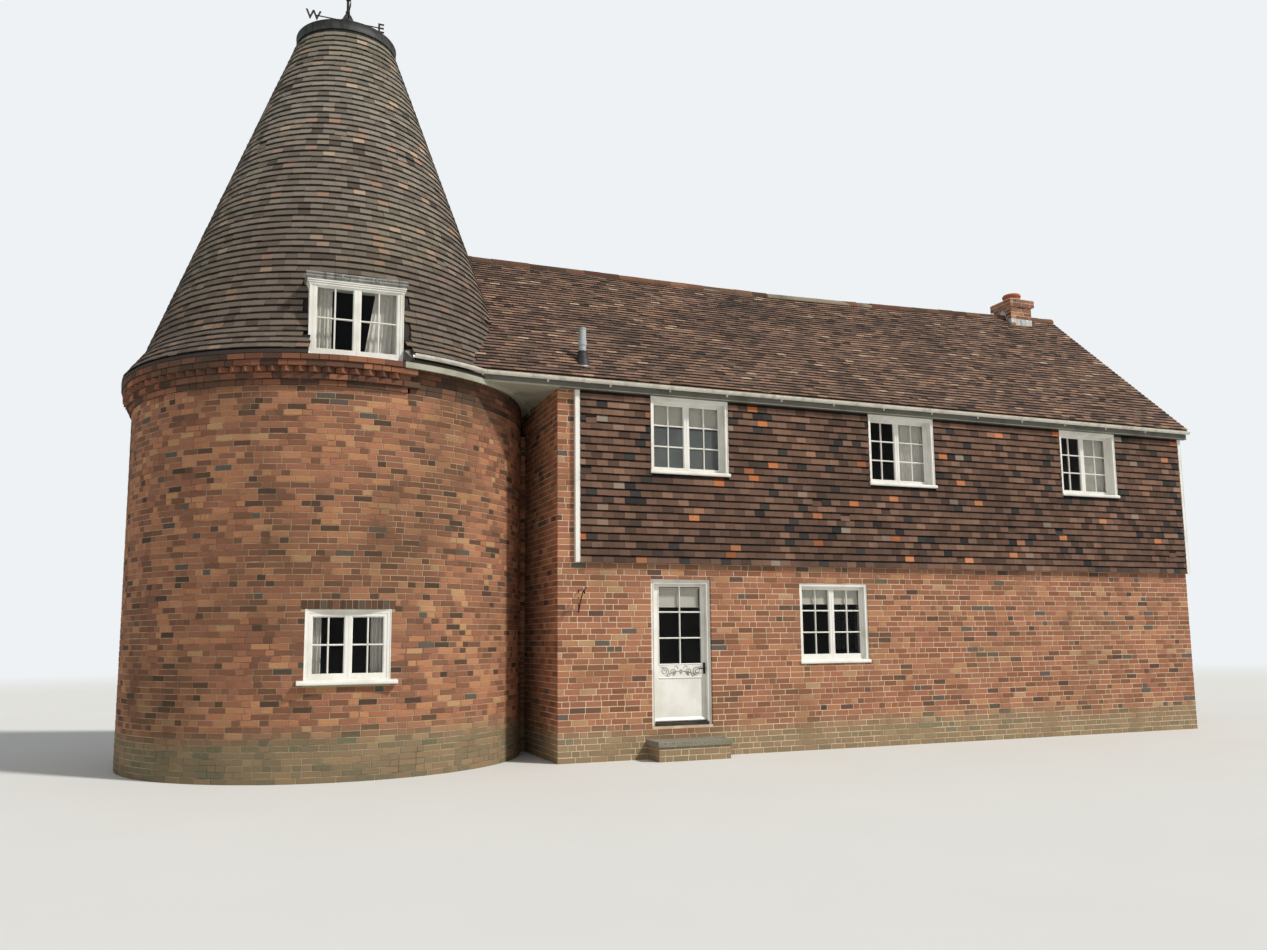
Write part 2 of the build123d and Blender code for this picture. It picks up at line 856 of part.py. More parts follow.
with BuildPart() as dormer_roof:
    add(
        block(
            dormer_left - dormer_lead_lip,
            dormer_right + dormer_lead_lip,
            dormer_front - dormer_lead_lip,
            dormer_back,
            dormer_head,
            dormer_head + dormer_lead,
        )
    )
    add(cone_space, mode=Mode.SUBTRACT)
save(dormer_roof.part, "dormer_roof")


def curtain(left, right, opening, frame_back, flare=0):
    """A drawn curtain as a plain slab, hung clear of the opening's head; flare widens its foot leftwards."""
    _, _, foot, head = opening
    face = frame_back + curtain_stand_off
    with BuildPart(mode=Mode.PRIVATE) as solid:
        with BuildSketch(Plane(origin=(0, face, 0), x_dir=(1, 0, 0), z_dir=(0, -1, 0))):
            with BuildLine():
                Polyline(
                    (left - flare, foot + curtain_lift),
                    (right, foot + curtain_lift),
                    (right, head - fit),
                    (left, head - fit),
                    close=True,
                )
            make_face()
        extrude(amount=-curtain_depth)
    return solid.part


def blind(left, right, head, back, drop):
    """A blind let down from the head of its window, behind the sashes."""
    face = back + fit
    return block(
        left + cloth_side_gap, right - cloth_side_gap, face, face + blind_depth, head - drop, head - fit
    )


upper_frame_back = reveal_depth + sash_depth - hung_face
kiln_frame_back = kiln_face + kiln_reveal_depth + sash_depth
left_window, *curtained_windows = front_upper
with BuildPart() as curtains:
    for opening, start in zip(curtained_windows, upper_curtain_lefts):
        right = opening[0] + upper_window_width - cloth_side_gap
        add(curtain(opening[0] + start, right, opening, upper_frame_back))
    dormer_inset = dormer_cheek + cloth_side_gap
    for opening, widths, back, inset, flare in (
        (kiln_hole, kiln_curtain_widths, kiln_frame_back, cloth_side_gap, 0),
        (dormer_opening, dormer_curtain_widths, cheek_back, dormer_inset, dormer_curtain_flare),
    ):
        left = opening[0] + inset
        right = opening[0] + opening[1] - inset
        add(curtain(left, left + widths[0], opening, back))
        add(curtain(right - widths[1], right, opening, back, flare))
save(curtains.part, "curtains")

window_left, _, _, window_head = left_window
ground_left, _, _, ground_head = front_ground[0]
ground_sash_back = brick_setback + reveal_depth / 2 + sash_depth
with BuildPart() as roller_blinds:
    window_right = window_left + upper_window_width
    add(blind(window_left, window_right, window_head, upper_frame_back, upper_blind_drop))
    lining_left = ground_left + casing_face
    lining_right = ground_left + ground_window_width - casing_face
    lining_head = ground_head - casing_face
    add(blind(lining_left, lining_right, lining_head, ground_sash_back, ground_blind_drop))
save(roller_blinds.part, "roller_blinds")

# Doorway: frame, threshold, step and the door itself, hung on the left and opening inwards
frame_back = frame_setback + frame_depth
leaf_inner = leaf_setback + leaf_depth
rebate_face = frame_face - stop_face
with BuildPart() as door_frame:
    add(block(door_left, door_right, frame_setback, frame_back, door_sill, door_head))
    add(
        block(
            door_left + frame_face,
            door_right - frame_face,
            frame_setback,
            leaf_setback - door_gap,
            door_sill,
            door_head - frame_face,
        ),
        mode=Mode.SUBTRACT,
    )
    add(
        block(
            door_left + rebate_face,
            door_right - rebate_face,
            leaf_setback - door_gap,
            frame_back,
            door_sill,
            door_head - rebate_face,
        ),
        mode=Mode.SUBTRACT,
    )
save(door_frame.part, "door_frame")
save(
    block(
        door_left + frame_face,
        door_right - frame_face,
        0,
        frame_back,
        door_sill,
        door_sill + threshold_height,
    ),
    "threshold",
)

leaf_left = door_left + rebate_face + door_gap
leaf_right = door_right - rebate_face - latch_gap
leaf_foot = door_sill + threshold_height + door_gap
leaf_head = door_head - rebate_face - door_gap
glass_space = block(
    leaf_left + stile,
    leaf_right - stile,
    leaf_setback,
    leaf_inner,
    door_sill + glazed_foot,
    leaf_head - stile,
)
with BuildPart() as door_leaf:
    add(block(leaf_left, leaf_right, leaf_setback, leaf_inner, leaf_foot, leaf_head))
    add(glass_space, mode=Mode.SUBTRACT)
    for face, depth in ((leaf_setback, panel_recess), (leaf_inner, -panel_recess)):
        y0, y1 = sorted((face, face + depth))
        panel_head = door_sill + glazed_foot - lock_rail
        recess_space = block(leaf_left + stile, leaf_right - stile, y0, y1, leaf_foot + foot_rail, panel_head)
        add(recess_space, mode=Mode.SUBTRACT)
save(door_leaf.part, "door_leaf")
leaf_middle = (leaf_setback + leaf_inner) / 2
save(
    block(
        leaf_left + stile,
        leaf_right - stile,
        leaf_middle - glass_depth / 2,
        leaf_middle + glass_depth / 2,
        door_sill + glazed_foot,
        leaf_head - stile,
    ),
    "door_glass",
)
door_blind_head = leaf_head - stile + door_blind_rise
save(
    block(
        leaf_left + stile - door_blind_margin,
        leaf_right - stile + door_blind_margin,
        leaf_inner + fit,
        leaf_inner + fit + blind_depth,
        leaf_head - stile - door_blind_drop,
        door_blind_head,
    ),
    "door_blind",
)

# Three butt hinges, their knuckles proud of the leaf's inner face
pin_x = leaf_left - door_gap / 2
pin_y = leaf_inner + hinge_proud
knuckle_radius = hypot(door_gap / 2, hinge_proud) - fit
hinge_feet = (
    leaf_foot + hinge_margin,
    (leaf_foot + leaf_head - hinge_height) / 2,
    leaf_head - hinge_margin - hinge_height,
)
with BuildPart() as door_hinges:
    for foot in hinge_feet:
        with BuildSketch(Plane((pin_x, pin_y, foot))):
            Circle(knuckle_radius)
        extrude(amount=hinge_height)
        jamb_x = leaf_left - door_gap
        add(block(jamb_x, jamb_x + hinge_plate, leaf_setback, pin_y, foot, foot + hinge_height))
    add(door_frame.part, mode=Mode.SUBTRACT)
save(door_hinges.part, "door_hinges")

handle_x = leaf_right - stile / 2
handle_z = door_sill + handle_level
with BuildPart() as door_handle:
    for face, side in ((leaf_setback, -1), (leaf_inner, 1)):
        y0, y1 = sorted((face, face + side * handle_plate_depth))
        add(
            block(
                handle_x - handle_plate_width / 2,
                handle_x + handle_plate_width / 2,
                y0,
                y1,
                handle_z - handle_plate_height / 2,
                handle_z + handle_plate_height / 2,
            )
        )
        lever_y = face + side * handle_reach
        with BuildSketch(Plane(origin=(handle_x, face, handle_z), z_dir=(0, side, 0))):
            Circle(handle_radius)
        extrude(amount=handle_reach)
        with BuildSketch(Plane(origin=(handle_x + handle_radius, lever_y, handle_z), z_dir=(-1, 0, 0))):
            Circle(handle_radius)
        extrude(amount=handle_length)
save(door_handle.part, "door_handle")

with BuildPart() as doorstep:
    add(
        block(
            door_left - step_margin,
            door_right + step_margin,
            -step_reach,
            0,
            step_top - step_slab,
            step_top,
        )
    )
save(doorstep.part, "doorstep")
with BuildPart() as step_base:
    add(
        block(
            door_left - step_margin + step_nosing,
            door_right + step_margin - step_nosing,
            -step_reach + step_nosing,
            0,
            0,
            step_top - step_slab,
        )
    )
save(step_base.part, "step_base")

# Chimney stack with its oversailing cap and pot
with BuildPart() as chimney_stack:
    add(chimney_space)
    add(
        block(
            chimney_left - cap_course_reach,
            chimney_right + cap_course_reach,
            chimney_front - cap_course_reach,
            chimney_back + cap_course_reach,
            chimney_top - cap_courses * course,
            chimney_top,
        )
    )
save(chimney_stack.part, "chimney_stack")
chimney_x = chimney_left + chimney_width / 2
with BuildPart() as chimney_pot:
    with BuildSketch(Plane((chimney_x, ridge_y, chimney_top))):
        Circle(pot_radius)
        Circle(pot_radius - pot_wall, mode=Mode.SUBTRACT)
    extrude(amount=pot_height)
save(chimney_pot.part, "chimney_pot")
flashing_front = chimney_front - flashing_depth
flashing_back = chimney_back + flashing_depth
with BuildPart() as chimney_flashing:
    with BuildSketch(section(chimney_left - flashing_depth)):
        with BuildLine():
            Polyline(
                (flashing_front, slope_level(chimney_x, flashing_front) - tile_depth),
                (ridge_y, slope_level(chimney_x, ridge_y) - tile_depth),
                (flashing_back, slope_level(chimney_x, flashing_back) - tile_depth),
                (flashing_back, slope_level(chimney_x, flashing_back) + flashing_height),
                (ridge_y, slope_level(chimney_x, ridge_y) + flashing_height),
                (flashing_front, slope_level(chimney_x, flashing_front) + flashing_height),
                close=True,
            )
        make_face()
    extrude(amount=chimney_width + 2 * flashing_depth)
    add(chimney_space, mode=Mode.SUBTRACT)
    add(front_slope, mode=Mode.SUBTRACT)
    add(back_slope, mode=Mode.SUBTRACT)

# Vent pipe through the roof, in a lead skirt
with BuildPart() as vent_pipe:
    with BuildSketch(Plane((vent_x, vent_y, vent_foot))):
        Circle(vent_radius)
        Circle(vent_radius - vent_wall, mode=Mode.SUBTRACT)
    extrude(amount=vent_top - vent_foot)
save(vent_pipe.part, "vent_pipe")
vent_level = slope_level(vent_x, vent_y)
roof_pitch = (slope_level(vent_x, ridge_y) - eaves_level) / (ridge_y + eaves_overhang)
skirt_bed = Plane(origin=(vent_x, vent_y, vent_level - tile_depth), z_dir=(0, -roof_pitch, 1))
with BuildPart() as vent_skirt:
    with BuildSketch(Plane((vent_x, vent_y, vent_level - vent_skirt_height))):
        Circle(vent_skirt_radius)
    with BuildSketch(Plane((vent_x, vent_y, vent_level + vent_skirt_height))):
        Circle(vent_radius + vent_wall)
    loft()
    split(bisect_by=skirt_bed, keep=Keep.TOP)
    with BuildSketch(Plane((vent_x, vent_y, vent_level - vent_skirt_height))):
        Circle(vent_radius)
    extrude(amount=2 * vent_skirt_height, mode=Mode.SUBTRACT)
    add(front_slope, mode=Mode.SUBTRACT)
with BuildPart() as roof_leadwork:
    add(chimney_flashing.part)
    add(vent_skirt.part)
save(roof_leadwork.part, "roof_leadwork")

# Iron wall bracket beside the door
with BuildPart() as wall_bracket:
    left = bracket_x - bracket_bar / 2
    right = bracket_x + bracket_bar / 2
    add(block(left, right, -bracket_bar, 0, bracket_level - bracket_reach, bracket_level))
    add(block(left, right, -bracket_reach, 0, bracket_level - bracket_bar, bracket_level))
save(wall_bracket.part, "wall_bracket")
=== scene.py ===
"""Finishes the oast house: single bricks and tiles, joinery, leadwork, ironwork, curtains and blinds."""

import logging
import math
from collections.abc import Callable, Iterable, Iterator, Sequence
from contextlib import contextmanager
from dataclasses import dataclass
from enum import Enum
from typing import Any, Protocol

import bpy
import numpy as np
from mathutils import Matrix, Vector


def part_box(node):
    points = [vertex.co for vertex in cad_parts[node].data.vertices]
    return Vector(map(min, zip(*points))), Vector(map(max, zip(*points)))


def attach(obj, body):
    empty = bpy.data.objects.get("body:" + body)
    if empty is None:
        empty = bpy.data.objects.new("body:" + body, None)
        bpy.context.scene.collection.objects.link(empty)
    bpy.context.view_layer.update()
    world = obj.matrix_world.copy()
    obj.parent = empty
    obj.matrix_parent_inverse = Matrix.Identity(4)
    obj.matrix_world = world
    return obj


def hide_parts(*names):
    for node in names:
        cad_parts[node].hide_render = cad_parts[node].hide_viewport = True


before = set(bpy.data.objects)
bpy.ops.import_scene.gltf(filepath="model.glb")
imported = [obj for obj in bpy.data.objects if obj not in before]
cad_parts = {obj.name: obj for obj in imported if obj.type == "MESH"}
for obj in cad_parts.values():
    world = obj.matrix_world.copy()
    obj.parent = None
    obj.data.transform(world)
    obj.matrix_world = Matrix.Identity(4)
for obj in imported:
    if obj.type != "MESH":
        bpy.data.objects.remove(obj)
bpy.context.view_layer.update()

logging.basicConfig(level=logging.INFO, format="%(message)s")
log = logging.getLogger("oast_house")

SEED = 1872
BACKDROP = "#eef2f5"
CHIMNEY_CAP_REACH = 0.045
TURNED_CREASE = math.radians(35)
ROD_CREASE = math.radians(50)
ROOM_INSET = 0.29


class Body(Enum):
    """The bodies that pieces ride on."""

    HOUSE = "house"
    DOOR = "door"
    VANE = "vane"


@dataclass(frozen=True)
class Box:
    """The lowest and highest corner of a solid, in metres."""

    x0: float
    y0: float
    z0: float
    x1: float
    y1: float
    z1: float

    @classmethod
    def of(cls, node: str) -> "Box":
        """The box of a whole node."""
        low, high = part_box(node)
        return cls(*low, *high)

    @property
    def centre(self) -> Vector:
        """The middle of the box."""
        return Vector(((self.x0 + self.x1) / 2, (self.y0 + self.y1) / 2, (self.z0 + self.z1) / 2))

    @property
    def size(self) -> Vector:
        """The extent of the box along X, Y and Z."""
        return Vector((self.x1 - self.x0, self.y1 - self.y0, self.z1 - self.z0))

    @property
    def corners(self) -> tuple[tuple[float, float], ...]:
        """The X and Z of its corners, seen from the front."""
        return (self.x0, self.z0), (self.x1, self.z0), (self.x1, self.z1), (self.x0, self.z1)

    def grown(self, x: float, y: float, z: float) -> "Box":
        """The box with its faces moved outwards along X, Y and Z."""
        return Box(self.x0 - x, self.y0 - y, self.z0 - z, self.x1 + x, self.y1 + y, self.z1 + z)


def points_of(node: str) -> np.ndarray:
    """The corner points of a node's mesh.

    Args:
        node: The node's name.

    Returns:
        One row of X, Y and Z for each vertex.
    """
    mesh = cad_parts[node].data
    points = np.zeros(len(mesh.vertices) * 3)
    mesh.vertices.foreach_get("co", points)
    return points.reshape(-1, 3)


def solids_of(node: str) -> list[Box]:
    """The boxes of the separate solids in a node, from left to right and from the ground up.

    Args:
        node: The node's name.

    Returns:
        One box for each solid.
    """
    points = points_of(node)
    _, place = np.unique(points.round(5), axis=0, return_inverse=True)
    place = place.reshape(-1)
    group = np.arange(place.max() + 1)
    corners = np.array([polygon.vertices[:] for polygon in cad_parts[node].data.polygons])
    linked = place[corners]
    while True:
        lowest = group[linked].min(axis=1)
        before = group.copy()
        for column in range(linked.shape[1]):
            np.minimum.at(group, linked[:, column], lowest)
        group = group[group]
        if (group == before).all():
            break
    boxes = []
    for name in np.unique(group):
        own = points[group[place] == name]
        boxes.append(Box(*own.min(axis=0), *own.max(axis=0)))
    return sorted(boxes, key=lambda box: (round(box.x0, 3), round(box.z0, 3), box.y0))


# Shaders


def linear(colour: str) -> tuple[float, float, float, float]:
    """Turns a colour as it is seen into the linear one that a shader takes.

    Args:
        colour: A colour such as "#a05030".

    Returns:
        Its linear red, green and blue, with full alpha.
    """
    parts = [int(colour[i : i + 2], 16) / 255 for i in (1, 3, 5)]
    shares = [p / 12.92 if p <= 0.04045 else ((p + 0.055) / 1.055) ** 2.4 for p in parts]
    return (*shares, 1.0)


def operation(kind: str, swapped: bool = False) -> Callable[..., "Wire"]:
    """Makes a method of Wire that adds a Math node.

    Args:
        kind: The node's operation.
        swapped: Whether the other value comes first.

    Returns:
        The method.
    """

    def method(wire: "Wire", *others: "Wire | float") -> "Wire":
        """Adds the node to the shader that the value belongs to."""
        terms = (*others, wire) if swapped else (wire, *others)
        node = wire.shader.node("ShaderNodeMath", {"operation": kind}, dict(enumerate(terms)))
        return Wire(wire.shader, node.outputs[0])

    return method


class Wire:
    """A shader socket that takes part in arithmetic."""

    __add__ = __radd__ = operation("ADD")
    __sub__ = operation("SUBTRACT")
    __rsub__ = operation("SUBTRACT", swapped=True)
    __mul__ = __rmul__ = operation("MULTIPLY")
    __truediv__ = operation("DIVIDE")
    root = operation("SQRT")
    fraction = operation("FRACT")
    wave = operation("SINE")
    larger = operation("MAXIMUM")

    def __init__(self, shader: "Shader", socket: bpy.types.NodeSocket) -> None:
        """Wraps an output socket of a shader's node."""
        self.shader = shader
        self.socket = socket

    def above(self, edge: float, soft: float = 0.001) -> "Wire":
        """A mask that rises from 0 to 1 as the value passes an edge.

        Args:
            edge: The value at the middle of the rise.
            soft: Half the width of the rise.

        Returns:
            The mask.
        """
        node = self.shader.node(
            "ShaderNodeMapRange",
            {"interpolation_type": "SMOOTHSTEP"},
            {0: self, 1: edge - soft, 2: edge + soft, 3: 0.0, 4: 1.0},
        )
        return Wire(self.shader, node.outputs[0])

    def far_from(self, other: "Wire", x: float, y: float) -> "Wire":
        """The distance of the point that this and another value give from a point of the plan."""
        dx, dy = self - x, other - y
        return (dx * dx + dy * dy).root()


class Shader:
    """The nodes of one material, or of the world."""

    def __init__(self, owner: bpy.types.Material | bpy.types.World) -> None:
        """Empties the owner's nodes."""
        owner.use_nodes = True
        self.tree = owner.node_tree
        self.tree.nodes.clear()

    def node(
        self,
        kind: str,
        settings: dict[str, Any] | None = None,
        sockets: dict[int | str, Any] | None = None,
        stops: Sequence[tuple[float, str]] = (),
    ) -> bpy.types.Node:
        """Adds one node.

        Args:
            kind: The node's type.
            settings: Its properties, which are set first.
            sockets: Values or wires for its inputs.
            stops: The places and colours of a ramp.

        Returns:
            The node.
        """
        made = self.tree.nodes.new(kind)
        for name, value in (settings or {}).items():
            setattr(made, name, value)
        if stops:
            ramp = made.color_ramp.elements
            while len(ramp) < len(stops):
                ramp.new(1.0)
            for element, (place, colour) in zip(ramp, stops):
                element.position = place
                element.color = linear(colour)
        for key, value in (sockets or {}).items():
            if isinstance(value, Wire):
                self.tree.links.new(value.socket, made.inputs[key])
            else:
                made.inputs[key].default_value = value
        return made

    def out(self, node: bpy.types.Node, name: int | str = 0) -> Wire:
        """One output of a node."""
        return Wire(self, node.outputs[name])

    def place(self) -> Wire:
        """The point on the house, in metres."""
        return self.out(self.node("ShaderNodeTexCoord"), "Object")

    def parts(self, vector: Wire) -> tuple[Wire, Wire, Wire]:
        """A vector's X, Y and Z."""
        node = self.node("ShaderNodeSeparateXYZ", sockets={0: vector})
        return self.out(node, 0), self.out(node, 1), self.out(node, 2)

    def axes(self) -> tuple[Wire, Wire, Wire]:
        """The point's X, Y and Z."""
        return self.parts(self.place())

    def facing(self) -> tuple[Wire, Wire, Wire]:
        """The surface normal's X, Y and Z."""
        return self.parts(self.out(self.node("ShaderNodeNewGeometry"), "Normal"))

    def noise(
        self, scale: float, detail: float = 3.0, stretch: tuple[float, float, float] = (1, 1, 1)
    ) -> Wire:
        """Cloudy noise around one half, fixed to the house.

        Args:
            scale: How many clouds there are to a metre.
            detail: How many finer layers it has.
            stretch: How much finer it is along X, Y and Z.

        Returns:
            The noise.
        """
        spread = self.node("ShaderNodeMapping", {"vector_type": "POINT"}, {0: self.place(), "Scale": stretch})
        node = self.node(
            "ShaderNodeTexNoise", sockets={"Vector": self.out(spread), "Scale": scale, "Detail": detail}
        )
        return self.out(node)

    def attribute(self, name: str) -> Wire:
        """A value that the mesh carries."""
        return self.out(self.node("ShaderNodeAttribute", {"attribute_name": name}), "Fac")

    def ramp(self, value: Wire, stops: Sequence[tuple[float, str]]) -> Wire:
        """Turns a value into a colour."""
        return self.out(self.node("ShaderNodeValToRGB", sockets={0: value}, stops=stops))

    def mix(self, under: Wire | str, over: Wire | str, share: Wire | float) -> Wire:
        """Lays one colour over another.

        Args:
            under: The colour where the share is 0.
            over: The colour where the share is 1.
            share: The share of the upper colour.

        Returns:
            The mixed colour.
        """
        first, second = (linear(c) if isinstance(c, str) else c for c in (under, over))
        node = self.node(
            "ShaderNodeMix", {"data_type": "RGBA", "clamp_factor": True}, {0: share, 6: first, 7: second}
        )
        return self.out(node, 2)

    def shade(self, colour: Wire | str, amount: Wire | float) -> Wire:
        """Multiplies a colour by a grey value."""
        first = linear(colour) if isinstance(colour, str) else colour
        grey = self.node("ShaderNodeCombineXYZ", sockets={0: amount, 1: amount, 2: amount})
        settings = {"data_type": "RGBA", "blend_type": "MULTIPLY"}
        return self.out(self.node("ShaderNodeMix", settings, {0: 1.0, 6: first, 7: self.out(grey)}), 2)

    def bump(self, height: Wire, distance: float) -> Wire:
        """Turns a height, where 1 stands for a distance in metres, into a bent normal."""
        sockets = {"Strength": 1.0, "Distance": distance, "Height": height}
        return self.out(self.node("ShaderNodeBump", sockets=sockets))

    def surface(self, **sockets: Any) -> None:
        """Ends the material in a Principled shader; underscores in the names stand for spaces."""
        values = {}
        for key, value in sockets.items():
            values[key.replace("_", " ")] = linear(value) if isinstance(value, str) else value
        skin = self.node("ShaderNodeBsdfPrincipled", sockets=values)
        self.node("ShaderNodeOutputMaterial", sockets={0: self.out(skin)})


# Finishes


@dataclass(frozen=True)
class Finish:
    """One of the house's finishes, painted into a material when it is first used."""

    name: str
    slot: str

    def paint(self, shader: Shader) -> None:
        """Adds this finish's nodes to a material."""
        raise NotImplementedError

    def material(self) -> bpy.types.Material:
        """The finish's material."""
        name = f"{self.name}_finish"
        known = bpy.data.materials.get(name)
        if known:
            return known
        made = bpy.data.materials.new(name)
        self.paint(Shader(made))
        return made


@dataclass(frozen=True)
class FiredClay(Finish):
    """Brick or tile whose shade changes from piece to piece, with stains in patches."""

    shades: tuple[tuple[float, str], ...] = ()
    stain: str = "#4a453a"
    stain_share: float = 0.35
    stain_from: float = 0.56
    patch_scale: float = 0.9
    grain_depth: float = 0.0016
    foot_stain: str = ""
    foot_level: float = 0.42
    foot_fade: float = 0.16
    foot_share: float = 0.65

    def paint(self, shader: Shader) -> None:
        """Mixes the piece's own shade with grain, stains, a weathered foot and what lies in shadow."""
        colour = shader.ramp(shader.attribute("tone"), self.shades)
        grain = shader.noise(38, 5)
        fine = shader.noise(160, 2)
        colour = shader.shade(colour, 0.62 + 0.5 * grain + 0.26 * fine)
        patches = shader.noise(self.patch_scale, 4)
        mask = (patches + 0.22 * (grain - 0.5)).above(self.stain_from, 0.09) * self.stain_share
        colour = shader.mix(colour, self.stain, mask)
        if self.foot_stain:
            _, _, height = shader.axes()
            damp = 1 - (height + 3 * self.foot_fade * (patches - 0.5)).above(self.foot_level, self.foot_fade)
            colour = shader.mix(colour, self.foot_stain, damp * self.foot_share * (0.5 + grain))
        colour = shader.shade(colour, 1 - shader.attribute("shade"))
        shader.surface(
            Base_Color=colour,
            Roughness=0.78 + 0.18 * grain,
            Specular_IOR_Level=0.15,
            Normal=shader.bump(grain + 0.4 * fine, self.grain_depth),
        )


@dataclass(frozen=True)
class WallCore(Finish):
    """Lime mortar outside and between the bricks, with plaster on the rooms' side."""

    mortar: str = "#dcc9ac"
    dark_mortar: str = "#b09a7e"
    plaster: str = "#d9d4c6"
    room: Box | None = None
    round_room: tuple[float, float, float] | None = None

    def paint(self, shader: Shader) -> None:
        """Chooses mortar or plaster by the point's place."""
        x, y, _ = shader.axes()
        coarse = shader.noise(2.2, 4)
        sand = shader.noise(240, 2)
        colour = shader.mix(self.mortar, self.dark_mortar, coarse.above(0.56, 0.12))
        colour = shader.shade(colour, 0.72 + 0.5 * sand)
        indoors = 0.0
        if self.room:
            across = x.above(self.room.x0) * (1 - x.above(self.room.x1))
            indoors = across * y.above(self.room.y0) * (1 - y.above(self.room.y1))
        if self.round_room:
            *centre, radius = self.round_room
            indoors = 1 - x.far_from(y, *centre).above(radius)
        shader.surface(
            Base_Color=shader.mix(colour, self.plaster, indoors),
            Roughness=0.86 + 0.1 * sand,
            Specular_IOR_Level=0.2,
            Normal=shader.bump(sand + coarse, 0.0015),
        )


@dataclass(frozen=True)
class Paintwork(Finish):
    """Gloss paint on wood, with brush marks, grime and dull patches."""

    colour: str = "#eceae2"
    grime: str = "#b9b4a0"
    grime_share: float = 0.35
    gloss: float = 0.32

    def paint(self, shader: Shader) -> None:
        """Lays thin grime over paint."""
        patches = shader.noise(3.2, 5)
        brush = shader.noise(30, 3, (1, 1, 0.12))
        mask = patches.above(0.56, 0.14) * self.grime_share
        shader.surface(
            Base_Color=shader.mix(shader.shade(self.colour, 0.95 + 0.07 * brush), self.grime, mask),
            Roughness=self.gloss + 0.22 * patches,
            Normal=shader.bump(brush, 0.0006),
        )


@dataclass(frozen=True)
class Timber(Finish):
    """Sawn boards, dark or bare, with grain along one way."""

    colour: str = "#6f5a44"
    dark: str = "#3d3025"
    board: float = 0.0
    stretch: tuple[float, float, float] = (0.15, 1, 1)
    gloss: float = 0.7

    def paint(self, shader: Shader) -> None:
        """Stretches noise into grain and cuts it into boards."""
        grain = shader.noise(26, 6, self.stretch)
        colour = shader.mix(self.colour, self.dark, grain.above(0.5, 0.2))
        height = grain
        if self.board:
            _, y, _ = shader.axes()
            run = (y / self.board).fraction()
            seam = run.above(0.02, 0.015) * (1 - run.above(0.98, 0.015))
            height = 0.3 * grain + seam
            colour = shader.shade(colour, 0.35 + 0.65 * seam)
        shader.surface(
            Base_Color=colour,
            Roughness=self.gloss + 0.2 * grain,
            Normal=shader.bump(height, 0.0014),
        )


@dataclass(frozen=True)
class Lead(Finish):
    """Dull sheet lead with pale bloom and dark runs."""

    colour: str = "#7f8385"
    bloom: str = "#c3c6c4"
    dark: str = "#4b4e4f"
    boot: str = "#2b2b2a"
    boot_reach: float = 0.0
    boot_rim: float = 5.55

    def paint(self, shader: Shader) -> None:
        """Mottles the grey with bloom and runs."""
        cloud = shader.noise(9, 6)
        runs = shader.noise(14, 4, (1, 1, 0.2))
        colour = shader.mix(self.colour, self.bloom, cloud.above(0.54, 0.08) * 0.8)
        colour = shader.mix(colour, self.dark, runs.above(0.6, 0.07) * 0.7)
        if self.boot_reach:
            x, _, height = shader.axes()
            boot = (1 - x.above(self.boot_reach, 0.1)) * height.above(self.boot_rim, 0.008)
            colour = shader.mix(colour, self.boot, boot)
        shader.surface(
            Base_Color=colour,
            Roughness=0.45 + 0.35 * cloud,
            Metallic=0.35 * runs,
            Normal=shader.bump(cloud + 0.5 * runs, 0.003),
        )


@dataclass(frozen=True)
class Ironwork(Finish):
    """Painted iron that rusts where the paint has gone."""

    colour: str = "#1d1d1e"
    rust: str = "#5c3a26"
    rust_from: float = 0.6
    shine: float = 0.42

    def paint(self, shader: Shader) -> None:
        """Lets rust through the paint in spots."""
        spots = shader.noise(34, 5)
        mask = spots.above(self.rust_from, 0.05)
        shader.surface(
            Base_Color=shader.mix(self.colour, self.rust, mask),
            Roughness=self.shine + 0.4 * spots,
            Metallic=0.55 - 0.5 * mask,
            Normal=shader.bump(spots, 0.0009),
        )


@dataclass(frozen=True)
class Moulded(Finish):
    """Weathered plastic or glazed ware, faintly dirty."""

    colour: str = "#cfcabc"
    dirt: str = "#8d8776"
    gloss: float = 0.4
    dirt_share: float = 0.5

    def paint(self, shader: Shader) -> None:
        """Runs thin dirt down a smooth colour."""
        runs = shader.noise(7, 5, (1, 1, 0.35))
        shader.surface(
            Base_Color=shader.mix(self.colour, self.dirt, runs.above(0.58, 0.12) * self.dirt_share),
            Roughness=self.gloss + 0.3 * runs,
            Normal=shader.bump(runs, 0.0008),
        )


@dataclass(frozen=True)
class Stone(Finish):
    """Worn stone, screed or concrete with speckle and moss."""

    colour: str = "#8e897b"
    speck: str = "#6a6659"
    moss: str = "#6d6f4e"
    moss_share: float = 0.4

    def paint(self, shader: Shader) -> None:
        """Speckles the stone and lays moss over it."""
        speckle = shader.noise(70, 5)
        patches = shader.noise(4, 4)
        colour = shader.mix(self.colour, self.speck, speckle.above(0.52, 0.08))
        colour = shader.mix(colour, self.moss, patches.above(0.55, 0.1) * self.moss_share)
        shader.surface(
            Base_Color=colour,
            Roughness=0.82 + 0.15 * speckle,
            Normal=shader.bump(speckle + patches, 0.003),
        )


